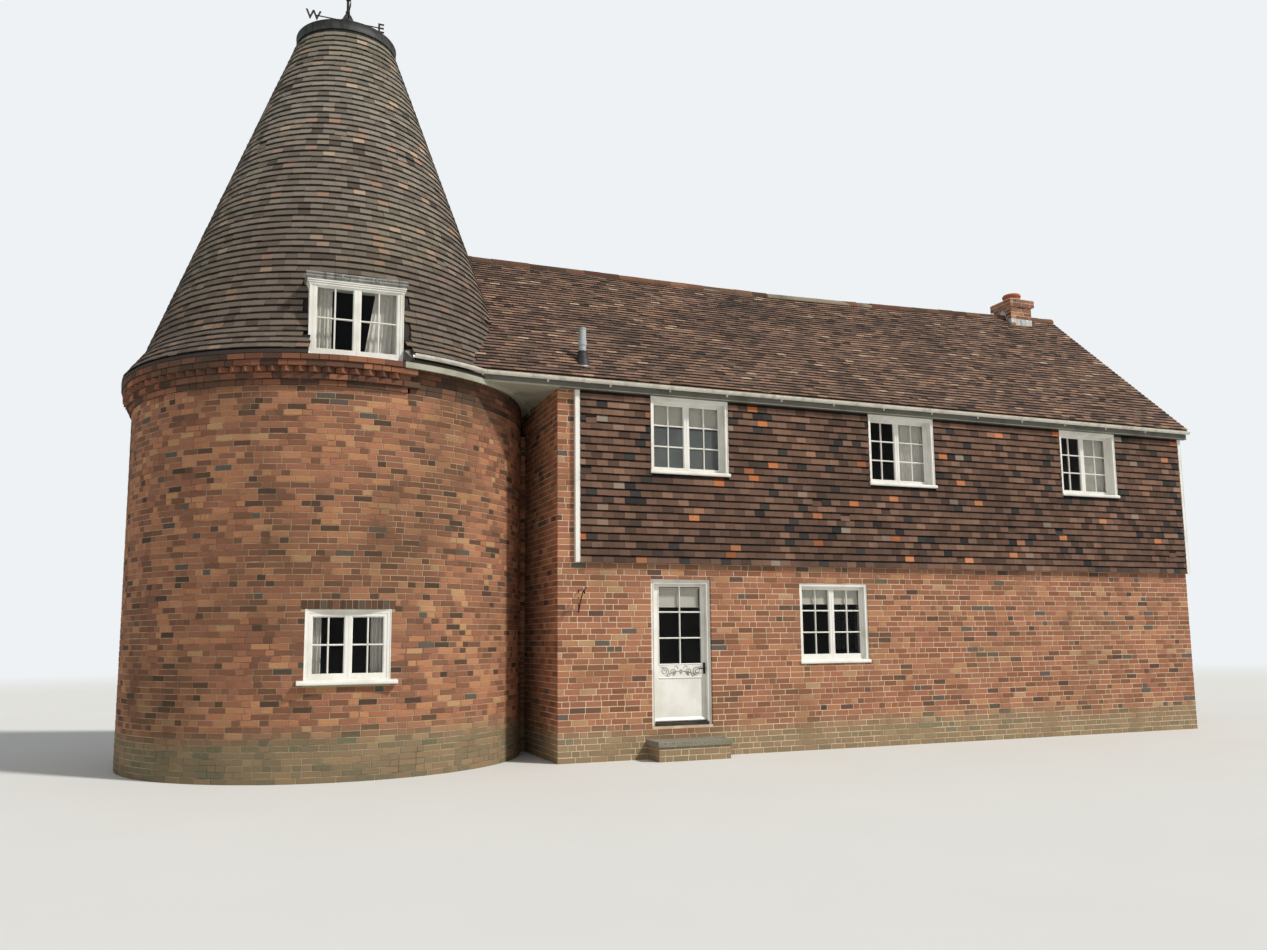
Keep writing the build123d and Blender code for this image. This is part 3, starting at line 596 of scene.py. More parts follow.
@dataclass(frozen=True)
class Glass(Finish):
    """A pane that mirrors the sky and lets a dark room through, and can carry a painted reflection of the
    sky.
    """

    colour: str = "#0b0e10"
    dust_colour: str = "#4a504e"
    alpha: float = 0.1
    sky_colour: str = "#6a6f6c"
    sky_share: float = 0.0
    sky_reach: float = 0.0
    sky_foot: float = 3.0
    sky_top: float = 4.73

    def paint(self, shader: Shader) -> None:
        """Makes the pane faintly uneven and dusty, with a painted reflection of the sky laid as a paler
        colour over a band of panes, where the glass is also made less clear.
        """
        ripple = shader.noise(3.5, 2)
        dust = shader.noise(24, 4)
        painted_reflection = 0.0
        # Painted reflection: a pale sky colour mixed into the panes left of a given X and between two
        # heights, which also makes them less clear.
        if self.sky_share:
            x, _, height = shader.axes()
            band = height.above(self.sky_foot, 0.2) * (1 - height.above(self.sky_top, 0.04))
            painted_reflection = (1 - x.above(self.sky_reach, 0.1)) * band * self.sky_share * (0.7 + 0.6 * ripple)
        colour = shader.mix(self.colour, self.sky_colour, painted_reflection)
        shader.surface(
            Base_Color=shader.mix(colour, self.dust_colour, dust.above(0.62, 0.1) * 0.12),
            Roughness=0.03 + 0.05 * dust,
            Alpha=self.alpha + 0.06 * dust + 0.5 * painted_reflection,
            Specular_IOR_Level=0.5,
            IOR=1.52,
            Normal=shader.bump(ripple, 0.004),
        )


@dataclass(frozen=True)
class Cloth(Finish):
    """Plain woven cloth whose threads follow the piece's own UV map, in metres."""

    colour: str = "#e4e0d3"
    shadow: str = "#b5b0a0"
    thread: float = 1400.0

    def paint(self, shader: Shader) -> None:
        """Weaves threads across and along the cloth."""
        flat = shader.out(shader.node("ShaderNodeUVMap", {"uv_map": "cut"}))
        across, along, _ = shader.parts(flat)
        weave = (across * self.thread).wave() * (along * self.thread).wave()
        slub = shader.noise(55, 3)
        mask = (0.5 + 0.5 * weave) * 0.2 + slub.above(0.58, 0.1) * 0.3
        shader.surface(
            Base_Color=shader.mix(self.colour, self.shadow, mask),
            Roughness=0.88 + 0.08 * slub,
            Specular_IOR_Level=0.2,
            Sheen_Weight=0.3,
            Normal=shader.bump(weave + slub, 0.0003),
        )


@dataclass(frozen=True)
class RoofBoards(Finish):
    """The roof under its tiles: dark battens above, boards below and a mortar bed at the verge."""

    felt: str = "#241f1c"
    board: str = "#8c7350"
    bed: str = "#b3a388"

    def paint(self, shader: Shader) -> None:
        """Chooses the layer by the way the surface faces."""
        side, _, up = shader.facing()
        grain = shader.noise(20, 5, (0.2, 1, 1))
        lower = shader.mix(self.board, self.felt, up.above(0.05, 0.04))
        colour = shader.mix(lower, self.bed, side.above(0.8, 0.05))
        shader.surface(
            Base_Color=shader.shade(colour, 0.75 + 0.45 * grain),
            Roughness=0.82 + 0.1 * grain,
            Normal=shader.bump(grain, 0.002),
        )


@dataclass(frozen=True)
class StudioFloor(Finish):
    """A pale floor that fades into the backdrop away from the house."""

    colour: str = "#d6d6d2"
    centre: tuple[float, float] = (0.0, 0.0)
    fade_from: float = 26.0
    fade: float = 14.0
    backdrop: float = 1.0

    def paint(self, shader: Shader) -> None:
        """Mixes the lit floor with the backdrop's own white by distance."""
        x, y, _ = shader.axes()
        far = x.far_from(y, *self.centre).above(self.fade_from + self.fade, self.fade)
        grain = shader.noise(0.6, 3)
        colour = shader.shade(self.colour, 0.97 + 0.05 * grain)
        sockets = {"Base Color": colour, "Roughness": 0.85 + 0.1 * grain}
        skin = shader.node("ShaderNodeBsdfPrincipled", sockets=sockets)
        path = shader.node("ShaderNodeLightPath")
        seen = shader.out(path, "Is Camera Ray") + shader.out(path, "Is Glossy Ray")
        sockets = {"Color": linear(BACKDROP), "Strength": self.backdrop}
        glow = shader.node("ShaderNodeEmission", sockets=sockets)
        sockets = {0: far * seen, 1: shader.out(skin), 2: shader.out(glow)}
        blend = shader.node("ShaderNodeMixShader", sockets=sockets)
        shader.node("ShaderNodeOutputMaterial", sockets={0: shader.out(blend)})


KILN_X, KILN_Y, _ = Box.of("kiln_cap").centre
KILN_RADIUS = KILN_X - Box.of("kiln_wall_left").x0
KILN_ROOM_RADIUS = Box.of("kiln_floors").x1 - KILN_X
STOWAGE_ROOM = Box(
    ROOM_INSET, ROOM_INSET, 0.0, Box.of("right_end_wall").x1 - ROOM_INSET, Box.of("back_wall").y0 + 0.01, 9.0
)

STOWAGE_BRICK = FiredClay(
    "stowage_brick",
    "brickwork",
    shades=(
        (0.0, "#615850"), (0.012, "#675c52"), (0.018, "#55423a"), (0.05, "#6b4e41"),
        (0.09, "#80563f"), (0.3, "#936149"), (0.6, "#9f6a51"), (0.85, "#aa7456"),
        (0.97, "#b1805d"), (1.0, "#b0906e"),
    ),
    stain="#7d6248",
    stain_share=0.35,
    foot_stain="#8b8467",
    foot_level=0.4,
)
KILN_BRICK = FiredClay(
    "kiln_brick",
    "brickwork",
    shades=(
        (0.0, "#5a524a"), (0.012, "#5f564c"), (0.018, "#4b3a30"), (0.06, "#5c4335"),
        (0.11, "#75503d"), (0.3, "#865a45"), (0.6, "#98664e"), (0.85, "#aa7454"),
        (0.97, "#b3815c"), (1.0, "#b08b66"),
    ),
    stain="#54402f",
    stain_share=0.5,
    patch_scale=0.45,
    foot_stain="#77765c",
    foot_level=0.52,
)
CORNICE_BRICK = FiredClay(
    "cornice_brick",
    "brickwork",
    shades=(
        (0.0, "#43352d"), (0.3, "#5f4437"), (0.6, "#79503d"), (0.9, "#8b5c45"),
        (1.0, "#9d6f50"),
    ),
    stain="#4d4438",
    stain_share=0.5,
    stain_from=0.52,
)
ROOF_TILE = FiredClay(
    "roof_tile",
    "roof_tile",
    shades=(
        (0.0, "#403733"), (0.06, "#5b4b42"), (0.3, "#725c50"), (0.6, "#836859"),
        (0.85, "#90705f"), (0.96, "#9f7b62"), (1.0, "#b8a188"),
    ),
    stain="#37322f",
    stain_share=0.4,
    stain_from=0.55,
    patch_scale=1.1,
    grain_depth=0.0025,
)
KILN_TILE = FiredClay(
    "kiln_tile",
    "kiln_tile",
    shades=(
        (0.0, "#4c4842"), (0.06, "#645e55"), (0.35, "#7a7368"), (0.7, "#867e72"),
        (0.9, "#918577"), (0.965, "#a5826c"), (1.0, "#b9a28a"),
    ),
    stain="#77745a",
    stain_share=0.25,
    stain_from=0.55,
    patch_scale=0.6,
    grain_depth=0.0025,
    foot_stain="#54423a",
    foot_level=7.6,
    foot_fade=1.6,
    foot_share=0.55,
)
HANGING_TILE = FiredClay(
    "hanging_tile",
    "hanging_tile",
    shades=(
        (0.0, "#2b2a29"), (0.05, "#3d3b39"), (0.07, "#4a3a32"), (0.3, "#614a3e"),
        (0.65, "#6e5446"), (0.9, "#7b5f4f"), (0.955, "#8a6a58"), (0.965, "#8d8478"),
        (0.975, "#9c5f42"), (0.983, "#b0663e"), (1.0, "#c0835a"),
    ),
    stain="#3b312b",
    stain_share=0.4,
    grain_depth=0.002,
)
RIDGE_TILE = FiredClay(
    "ridge_tile",
    "ridge_tile",
    shades=((0.0, "#4b342b"), (0.5, "#634435"), (0.9, "#7c543f"), (1.0, "#96694c")),
    stain="#4c4a3c",
    stain_share=0.5,
    stain_from=0.52,
)
RIDGE_MORTAR = WallCore("ridge_mortar", "ridge_tile", mortar="#8d8270", dark_mortar="#665c4e")
POT_CLAY = FiredClay(
    "pot_clay",
    "pot_clay",
    shades=((0.0, "#a5593f"), (0.5, "#b0654a"), (1.0, "#bb7557")),
    stain="#5f564a",
    stain_share=0.5,
)
STOWAGE_CORE = WallCore("stowage_mortar", "brickwork", room=STOWAGE_ROOM)
KILN_CORE = WallCore(
    "kiln_mortar",
    "brickwork",
    mortar="#a8977a",
    dark_mortar="#6f6352",
    round_room=(KILN_X, KILN_Y, KILN_ROOM_RADIUS + 0.02),
)
WHITE_PAINT = Paintwork("white_paint", "white_joinery")
CREAM_PAINT = Paintwork("cream_paint", "eaves_paint", colour="#a9a795", grime="#6d6f5e", grime_share=0.6)
# The eaves boards are laid dark grey: a painted shade that stands in for the shadow under the gutter.
EAVES_PAINTED_SHADE = Paintwork("shaded_paint", "eaves_paint", colour="#67645a", grime="#45443b", grime_share=0.6)
CURB_LEAD = Lead("curb_lead", "curb_lead", colour="#2c2c2c", bloom="#403f3c", dark="#1b1b1b")
RUBBER = Moulded("collar_rubber", "vent_plastic", colour="#222324", dirt="#3a3835", gloss=0.55)
THRESHOLD_WOOD = Timber("threshold_wood", "threshold_timber", colour="#453a32", dark="#231d19")
FLOOR = Timber("floor_boards", "floor_screed", colour="#8a7254", dark="#5d4a35", board=0.15)
LEAD = Lead("sheet_lead", "lead_sheet", colour="#85847e", bloom="#a2a19a", dark="#54534e")
FLASHING_LEAD = Lead(
    "flashing_lead", "lead_sheet", colour="#b9bbb9", bloom="#dcdcd8", dark="#7c7f7e", boot_reach=5.0
)
VANE_IRON = Ironwork("vane_iron", "vane_iron", colour="#232425")
BLACK_IRON = Ironwork("black_iron", "black_iron", rust_from=0.7)
HINGE_STEEL = Ironwork("hinge_steel", "hinge_steel", colour="#8f9091", rust="#6b543f", rust_from=0.66)
GUTTER = Moulded("gutter_plastic", "gutter_plastic", colour="#dfddd0", dirt_share=0.4)
VENT = Moulded("vent_plastic", "vent_plastic", colour="#a9adad", dirt="#6f6f69")
STEP_STONE = Stone("step_stone", "step_stone")
PANE = Glass("window_glass", "window_glass")
# Nearly opaque near-black glass for the back windows: a painted shade that stands in for the unlit rooms
# behind.
PAINTED_DARK_PANE = Glass("dim_glass", "window_glass", alpha=0.88)
# The front windows' glass, with a painted reflection of the sky on the upper panes left of 5 m along.
PAINTED_SKY_PANE = Glass("sky_glass", "window_glass", sky_share=0.9, sky_reach=5.0)
SCROLL_PAINT = Paintwork("scroll_paint", "white_joinery", colour="#a6a59d", grime="#6d6b62", grime_share=0.7)
HANGING_BED = RoofBoards("hanging_battens", "hanging_tile", board="#241f1c")
ROOF_BED = RoofBoards("roof_boards", "roof_tile")
KILN_BED = RoofBoards("kiln_boards", "kiln_tile", board="#3c3029", bed="#4b4038")
CURTAIN = Cloth("curtain_cloth", "curtain_cloth", colour="#f6f3ea", shadow="#d3cfc2")
BLIND = Cloth("blind_cloth", "blind_cloth")
STAGE_FLOOR = StudioFloor("studio_floor", "", centre=(3.0, 2.0))

DRESSING: tuple[tuple[Finish, str], ...] = (
    (STOWAGE_CORE, "front_wall_left front_wall_right front_wall_upper doorway_lintel doorway_foot"),
    (STOWAGE_CORE, "back_wall left_end_wall right_end_wall chimney_stack step_base"),
    (KILN_CORE, "kiln_wall_front kiln_wall_left kiln_wall_back kiln_wall_right kiln_cornice"),
    (HANGING_BED, "front_tile_hanging back_tile_hanging gable_tile_hanging"),
    (ROOF_BED, "front_roof back_roof"),
    (KILN_BED, "kiln_roof link_roof"),
    (RIDGE_TILE, "ridge_tiles"),
    (WHITE_PAINT, "front_window_frames back_window_frames kiln_window_frame dormer_window_frame"),
    (WHITE_PAINT, "dormer_cheeks door_frame door_leaf corner_boards"),
    (EAVES_PAINTED_SHADE, "eaves_boards"),
    (CREAM_PAINT, "swept_eaves"),
    (GUTTER, "gutters"),
    (PANE, "kiln_window_glass door_glass"),
    (PAINTED_DARK_PANE, "back_window_glass"),
    (PAINTED_SKY_PANE, "front_window_glass"),
    (FLASHING_LEAD, "roof_leadwork"),
    (LEAD, "dormer_roof"),
    (CURB_LEAD, "kiln_cap"),
    (VANE_IRON, "vane_mast vane_pointer"),
    (BLACK_IRON, "door_handle wall_bracket"),
    (HINGE_STEEL, "door_hinges"),
    (POT_CLAY, "chimney_pot"),
    (STEP_STONE, "doorstep"),
    (THRESHOLD_WOOD, "threshold"),
    (FLOOR, "stowage_floors kiln_floors"),
    (VENT, "vent_pipe"),
    (CURTAIN, "curtains"),
    (BLIND, "roller_blinds door_blind"),
)
NODE_FINISHES = {node: finish for finish, nodes in DRESSING for node in nodes.split()}


def dress_nodes() -> None:
    """Gives each node of the frame its finish."""
    for name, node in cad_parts.items():
        node.data.materials.clear()
        node.data.materials.append(NODE_FINISHES[name].material())


def settle(
    piece: bpy.types.Object, finish: Finish, body: Body = Body.HOUSE, stands_for: Sequence[str] = ()
) -> bpy.types.Object:
    """Gives a finished piece its material and body, and reports it.

    Args:
        piece: The piece, with its place in its mesh.
        finish: Its finish.
        body: The body that it rides on.
        stands_for: The nodes that it replaces.

    Returns:
        The piece.
    """
    piece.data.materials.clear()
    piece.data.materials.append(finish.material())
    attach(piece, body.value)
    if stands_for:
        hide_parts(*stands_for)
    log.info("%s: %d faces, %s", piece.name, len(piece.data.polygons), finish.name)
    return piece


def kiln_radii(points: np.ndarray) -> np.ndarray:
    """How far points lie from the kiln's axis."""
    return np.hypot(points[:, 0] - KILN_X, points[:, 1] - KILN_Y)


# Modelling tools


class Bench:
    """Blender's own tools, used on one piece at a time."""

    @staticmethod
    def clear() -> None:
        """Leaves nothing selected."""
        if bpy.context.mode != "OBJECT":
            bpy.ops.object.mode_set(mode="OBJECT")
        bpy.ops.object.select_all(action="DESELECT")

    @staticmethod
    def pick(piece: bpy.types.Object) -> None:
        """Selects one piece alone."""
        Bench.clear()
        piece.select_set(True)
        bpy.context.view_layer.objects.active = piece

    @staticmethod
    @contextmanager
    def editing() -> Iterator[None]:
        """Edit mode with everything selected, and object mode after it."""
        bpy.ops.object.mode_set(mode="EDIT")
        bpy.ops.mesh.select_all(action="SELECT")
        yield
        bpy.ops.object.mode_set(mode="OBJECT")

    @staticmethod
    def block(name: str, box: Box, chamfer: float = 0.0, segments: int = 1) -> bpy.types.Object:
        """A block between two corners, with its edges taken off.

        Args:
            name: The piece's name.
            box: Its corners.
            chamfer: The width that is taken off its edges.
            segments: The number of faces across a rounded edge.

        Returns:
            The piece.
        """
        Bench.clear()
        bpy.ops.mesh.primitive_cube_add(size=1, location=box.centre, scale=box.size)
        piece = bpy.context.object
        piece.name = piece.data.name = name
        bpy.ops.object.transform_apply(location=True, rotation=True, scale=True)
        if chamfer:
            with Bench.editing():
                bpy.ops.mesh.bevel(offset=chamfer, segments=segments, affect="EDGES")
        return piece

    @staticmethod
    @contextmanager
    def faces(piece: bpy.types.Object, wanted: Callable[[bpy.types.MeshPolygon], bool]) -> Iterator[None]:
        """Edit mode with the faces that a test picks, and object mode after it."""
        with Bench.editing():
            bpy.ops.mesh.select_mode(type="FACE")
            bpy.ops.mesh.select_all(action="DESELECT")
        for polygon in piece.data.polygons:
            polygon.select = wanted(polygon)
        bpy.ops.object.mode_set(mode="EDIT")
        yield
        bpy.ops.object.mode_set(mode="OBJECT")

    @staticmethod
    def face_out(piece: bpy.types.Object) -> None:
        """Turns a closed piece's faces outwards."""
        Bench.pick(piece)
        with Bench.editing():
            bpy.ops.mesh.normals_make_consistent(inside=False)

    @staticmethod
    def turned(
        name: str,
        outline: Sequence[tuple[float, float]],
        centre: tuple[float, float] | None = None,
        steps: int = 48,
        arc: tuple[float, float] = (0.0, math.tau),
        base: tuple[float, float] = (0.0, 0.0),
    ) -> bpy.types.Object:
        """Spins a closed outline about an upright axis.

        Args:
            name: The piece's name.
            outline: Points of radius and height.
            centre: The axis, or None for the kiln's.
            steps: The number of faces round it.
            arc: The angles at which it starts and ends, from the front towards +X.
            base: The radius and level that the outline is measured from.

        Returns:
            The piece.
        """
        x, y = centre or (KILN_X, KILN_Y)
        start, end = arc
        Bench.clear()
        bpy.ops.mesh.primitive_circle_add(vertices=len(outline), fill_type="NOTHING")
        piece = bpy.context.object
        piece.name = piece.data.name = name
        for vertex, (out, up) in zip(piece.data.vertices, outline):
            radius = base[0] + out
            vertex.co = (x + radius * math.sin(start), y - radius * math.cos(start), base[1] + up)
        with Bench.editing():
            bpy.ops.mesh.spin(steps=steps, angle=start - end, center=(x, y, 0), axis=(0, 0, 1))
            bpy.ops.mesh.select_all(action="SELECT")
            bpy.ops.mesh.remove_doubles(threshold=0.00005)
            bpy.ops.mesh.fill_holes(sides=0)
        Bench.face_out(piece)
        bpy.ops.object.shade_smooth_by_angle(angle=TURNED_CREASE)
        return piece

    @staticmethod
    def rod(
        name: str, path: Sequence[Sequence[float]], radius: float, roundness: int = 2
    ) -> bpy.types.Object:
        """A round rod along a path.

        Args:
            name: The piece's name.
            path: The points that its middle follows.
            radius: Its radius.
            roundness: How finely it is rounded.

        Returns:
            The rod.
        """
        Bench.clear()
        bpy.ops.curve.primitive_bezier_curve_add()
        curve = bpy.context.object.data
        curve.splines.clear()
        spline = curve.splines.new("POLY")
        spline.points.add(len(path) - 1)
        for point, spot in zip(spline.points, path):
            point.co = (*spot, 1.0)
        curve.dimensions = "3D"
        curve.bevel_depth = radius
        curve.bevel_resolution = roundness
        curve.use_fill_caps = True
        bpy.ops.object.convert(target="MESH")
        piece = bpy.context.object
        piece.name = piece.data.name = name
        Bench.face_out(piece)
        bpy.ops.object.shade_smooth_by_angle(angle=ROD_CREASE)
        return piece

    @staticmethod
    def join(pieces: Sequence[bpy.types.Object], name: str) -> bpy.types.Object:
        """Joins pieces into one."""
        Bench.pick(pieces[0])
        for piece in pieces[1:]:
            piece.select_set(True)
        if len(pieces) > 1:
            bpy.ops.object.join()
        joined = bpy.context.object
        joined.name = joined.data.name = name
        return joined

    @staticmethod
    def remove(piece: bpy.types.Object) -> None:
        """Throws a piece away."""
        bpy.data.objects.remove(piece, do_unlink=True)


# Surfaces that bricks and tiles are laid on. A point is given along the surface, up it and out of it.


class Surface(Protocol):
    """Anything that turns laid-out points into places on the house."""

    def place(self, points: np.ndarray) -> np.ndarray:
        """Turns points along, up and out of the surface into X, Y and Z."""


@dataclass(frozen=True)
class FlatFace:
    """A flat surface with its own directions."""

    origin: tuple[float, float, float]
    along: tuple[float, float, float]
    up: tuple[float, float, float] = (0, 0, 1)

    def place(self, points: np.ndarray) -> np.ndarray:
        """Turns points along, up and out of the face into X, Y and Z."""
        along = np.array(self.along, float)
        up = np.array(self.up, float)
        frame_rows = np.stack([along, up, np.cross(along, up)])
        return points @ frame_rows + np.array(self.origin)


@dataclass(frozen=True)
class RoundWall:
    """An upright round wall; the way along it is an angle from its front, towards +X."""

    x: float
    y: float
    radius: float

    def place(self, points: np.ndarray) -> np.ndarray:
        """Turns points round, up and out of the wall into X, Y and Z."""
        turn, level, out = np.moveaxis(points, -1, 0)
        reach = self.radius + out
        return np.stack([self.x + reach * np.sin(turn), self.y - reach * np.cos(turn), level], axis=-1)


@dataclass(frozen=True)
class ConeSide:
    """The side of a cone about an upright axis; the way up it starts at its foot."""

    x: float
    y: float
    foot_radius: float
    foot: float
    top_radius: float
    top: float

    @property
    def length(self) -> float:
        """The length up the side."""
        return math.hypot(self.foot_radius - self.top_radius, self.top - self.foot)

    def radius_at(self, up: np.ndarray | float) -> np.ndarray | float:
        """The radius of the side at a length up it."""
        return self.foot_radius + (self.top_radius - self.foot_radius) * up / self.length

    def place(self, points: np.ndarray) -> np.ndarray:
        """Turns points round, up and out of the side into X, Y and Z."""
        turn, up, out = np.moveaxis(points, -1, 0)
        lean = (self.foot_radius - self.top_radius) / self.length
        rise = (self.top - self.foot) / self.length
        reach = self.radius_at(up) + out * rise
        level = self.foot + up * rise + out * lean
        return np.stack([self.x + reach * np.sin(turn), self.y - reach * np.cos(turn), level], axis=-1)


@dataclass(frozen=True)
class RoofSlope:
    """One slope of the main roof, which follows its sagging ridge."""

    eaves_y: float
    eaves_z: float
    ridge_y: float
    ridge_x: tuple[float, ...]
    ridge_z: tuple[float, ...]

    @property
    def side(self) -> float:
        """1 on the front slope and -1 on the back one."""
        return 1.0 if self.ridge_y > self.eaves_y else -1.0

    @property
    def length(self) -> float:
        """The length up the slope."""
        return math.hypot(self.ridge_y - self.eaves_y, max(self.ridge_z) - self.eaves_z)

    def ridge_at(self, x: np.ndarray) -> np.ndarray:
        """The height of the ridge."""
        return np.interp(x, self.ridge_x, self.ridge_z)

    def level_at(self, x: np.ndarray, y: np.ndarray) -> np.ndarray:
        """The height of the slope above a point of the plan."""
        run = (y - self.eaves_y) / (self.ridge_y - self.eaves_y)
        return self.eaves_z + run * (self.ridge_at(x) - self.eaves_z)

    def place(self, points: np.ndarray) -> np.ndarray:
        """Turns points along, up and out of the slope into X, Y and Z."""
        along, up, out = np.moveaxis(points, -1, 0)
        x = self.side * along
        run = up / self.length
        rise = (max(self.ridge_z) - self.eaves_z) / self.length
        lean = (self.ridge_y - self.eaves_y) / self.length
        y = self.eaves_y + run * (self.ridge_y - self.eaves_y) - out * rise * self.side
        z = self.eaves_z + run * (self.ridge_at(x) - self.eaves_z) + out * abs(lean)
        return np.stack([x, y, z], axis=-1)


@dataclass
class Cells:
    """Where copies go: the middle, size, tone, turn and fall of each, and the metres in its unit along."""

    middles: np.ndarray
    sizes: np.ndarray
    tones: np.ndarray
    turns: np.ndarray
    falls: np.ndarray
    reach: np.ndarray

    @classmethod
    def of(cls, rows: Sequence[Sequence[float]], reach: float = 1.0) -> "Cells":
        """Cells from rows of middle, size, tone, turn and fall.

        Args:
            rows: Nine values for each copy.
            reach: How many metres one unit of the way along has.

        Returns:
            The cells.
        """
        table = np.array(rows, float).reshape(-1, 9)
        reaches = np.full(len(table), reach)
        return cls(table[:, :3], table[:, 3:6], table[:, 6], table[:, 7], table[:, 8], reaches)

    @classmethod
    def joined(cls, parts: Sequence["Cells"]) -> "Cells":
        """Puts sets of cells together."""
        names = cls.__dataclass_fields__
        return cls(*[np.concatenate([getattr(part, name) for part in parts]) for name in names])

    def kept(self, mask: np.ndarray) -> "Cells":
        """The cells that a mask keeps."""
        return Cells(*[getattr(self, name)[mask] for name in self.__dataclass_fields__])


def mark_faces(mesh: bpy.types.Mesh, name: str, values: np.ndarray) -> None:
    """Writes a value on each face, for the finish to read."""
    layer = mesh.attributes.new(name, "FLOAT", "FACE")
    layer.data.foreach_set("value", values.astype(np.float32).reshape(-1))


def tint(piece: bpy.types.Object, tone: float) -> None:
    """Gives a whole piece one tone."""
    mark_faces(piece.data, "tone", np.full(len(piece.data.polygons), tone))


class Pattern:
    """A small piece modelled once and laid many times as one joined mesh."""

    # Tile tails: a share of them get the palest tone, which stands for lichen and is also a painted highlight
    # of the sunlit tail; the rest get a dark tone, a painted shade under the tail.
    pale_edges: float = 0.16
    dark_edge: float = 0.03
    cover_shade: float = 0.86

    def __init__(self, model: bpy.types.Object, cover: float | None = None) -> None:
        """Takes over a modelled piece, centred along and up, with its back at 0.

        Args:
            model: The piece.
            cover: How far up it the next course hides it in shadow, or None where nothing does.
        """
        mesh = model.data
        points = np.zeros(len(mesh.vertices) * 3)
        mesh.vertices.foreach_get("co", points)
        self.points = points.reshape(-1, 3)
        self.size = self.points.max(axis=0) - self.points.min(axis=0)
        self.loops = np.zeros(len(mesh.loops), np.int32)
        mesh.loops.foreach_get("vertex_index", self.loops)
        self.starts = np.zeros(len(mesh.polygons), np.int32)
        mesh.polygons.foreach_get("loop_start", self.starts)
        self.tails = np.array([cover is not None and face.normal.y < -0.9 for face in mesh.polygons])
        self.heads = np.array([cover is not None and face.center.y > cover for face in mesh.polygons])
        Bench.remove(model)

    def lay(self, name: str, cells: Cells, surface: Surface) -> bpy.types.Object:
        """Lays a copy in each cell of a surface.

        Args:
            name: The joined piece's name.
            cells: Where the copies go.
            surface: What they are laid on.

        Returns:
            The joined piece, with each copy's shade as its "tone" and its shadow as its "shade".
        """
        count = len(cells.tones)
        local = self.points[None] * (cells.sizes / self.size)[:, None]
        across = local[..., 0].copy()
        cos, sin = np.cos(cells.turns)[:, None], np.sin(cells.turns)[:, None]
        local[..., 0] = across * cos - local[..., 1] * sin
        local[..., 1] = across * sin + local[..., 1] * cos
        local[..., 2] -= cells.falls[:, None] * local[..., 1]
        local[..., 0] /= cells.reach[:, None]
        world = surface.place(local + cells.middles[:, None]).reshape(-1, 3)
        mesh = bpy.data.meshes.new(name)
        mesh.vertices.add(len(world))
        mesh.vertices.foreach_set("co", world.astype(np.float32).reshape(-1))
        step = np.arange(count, dtype=np.int32)[:, None]
        loops = (self.loops[None] + step * len(self.points)).reshape(-1)
        starts = (self.starts[None] + step * len(self.loops)).reshape(-1)
        mesh.loops.add(len(loops))
        mesh.loops.foreach_set("vertex_index", loops)
        mesh.polygons.add(len(starts))
        mesh.polygons.foreach_set("loop_start", starts)
        tones = np.repeat(cells.tones[:, None], len(self.starts), axis=1)
        # Tail faces take the palest tone (lichen and a painted highlight) or a dark one (a painted shade).
        edges = np.where((cells.tones * 97.0) % 1.0 < self.pale_edges, 1.0, self.dark_edge)
        tones[:, self.tails] = edges[:, None]
        shades = np.repeat((self.cover_shade * self.heads)[None], count, axis=0)
        mark_faces(mesh, "tone", tones)
        mark_faces(mesh, "shade", shades)
        mesh.update(calc_edges=True)
        mesh.shade_flat()
        piece = bpy.data.objects.new(name, mesh)
        bpy.context.scene.collection.objects.link(piece)
        return piece


# Brickwork


@dataclass(frozen=True)
class Gap:
    """A rectangle of a wall that bricks stay out of, with the depth that they turn into it."""

    start: float
    end: float
    foot: float
    head: float
    reveal: float = 0.0


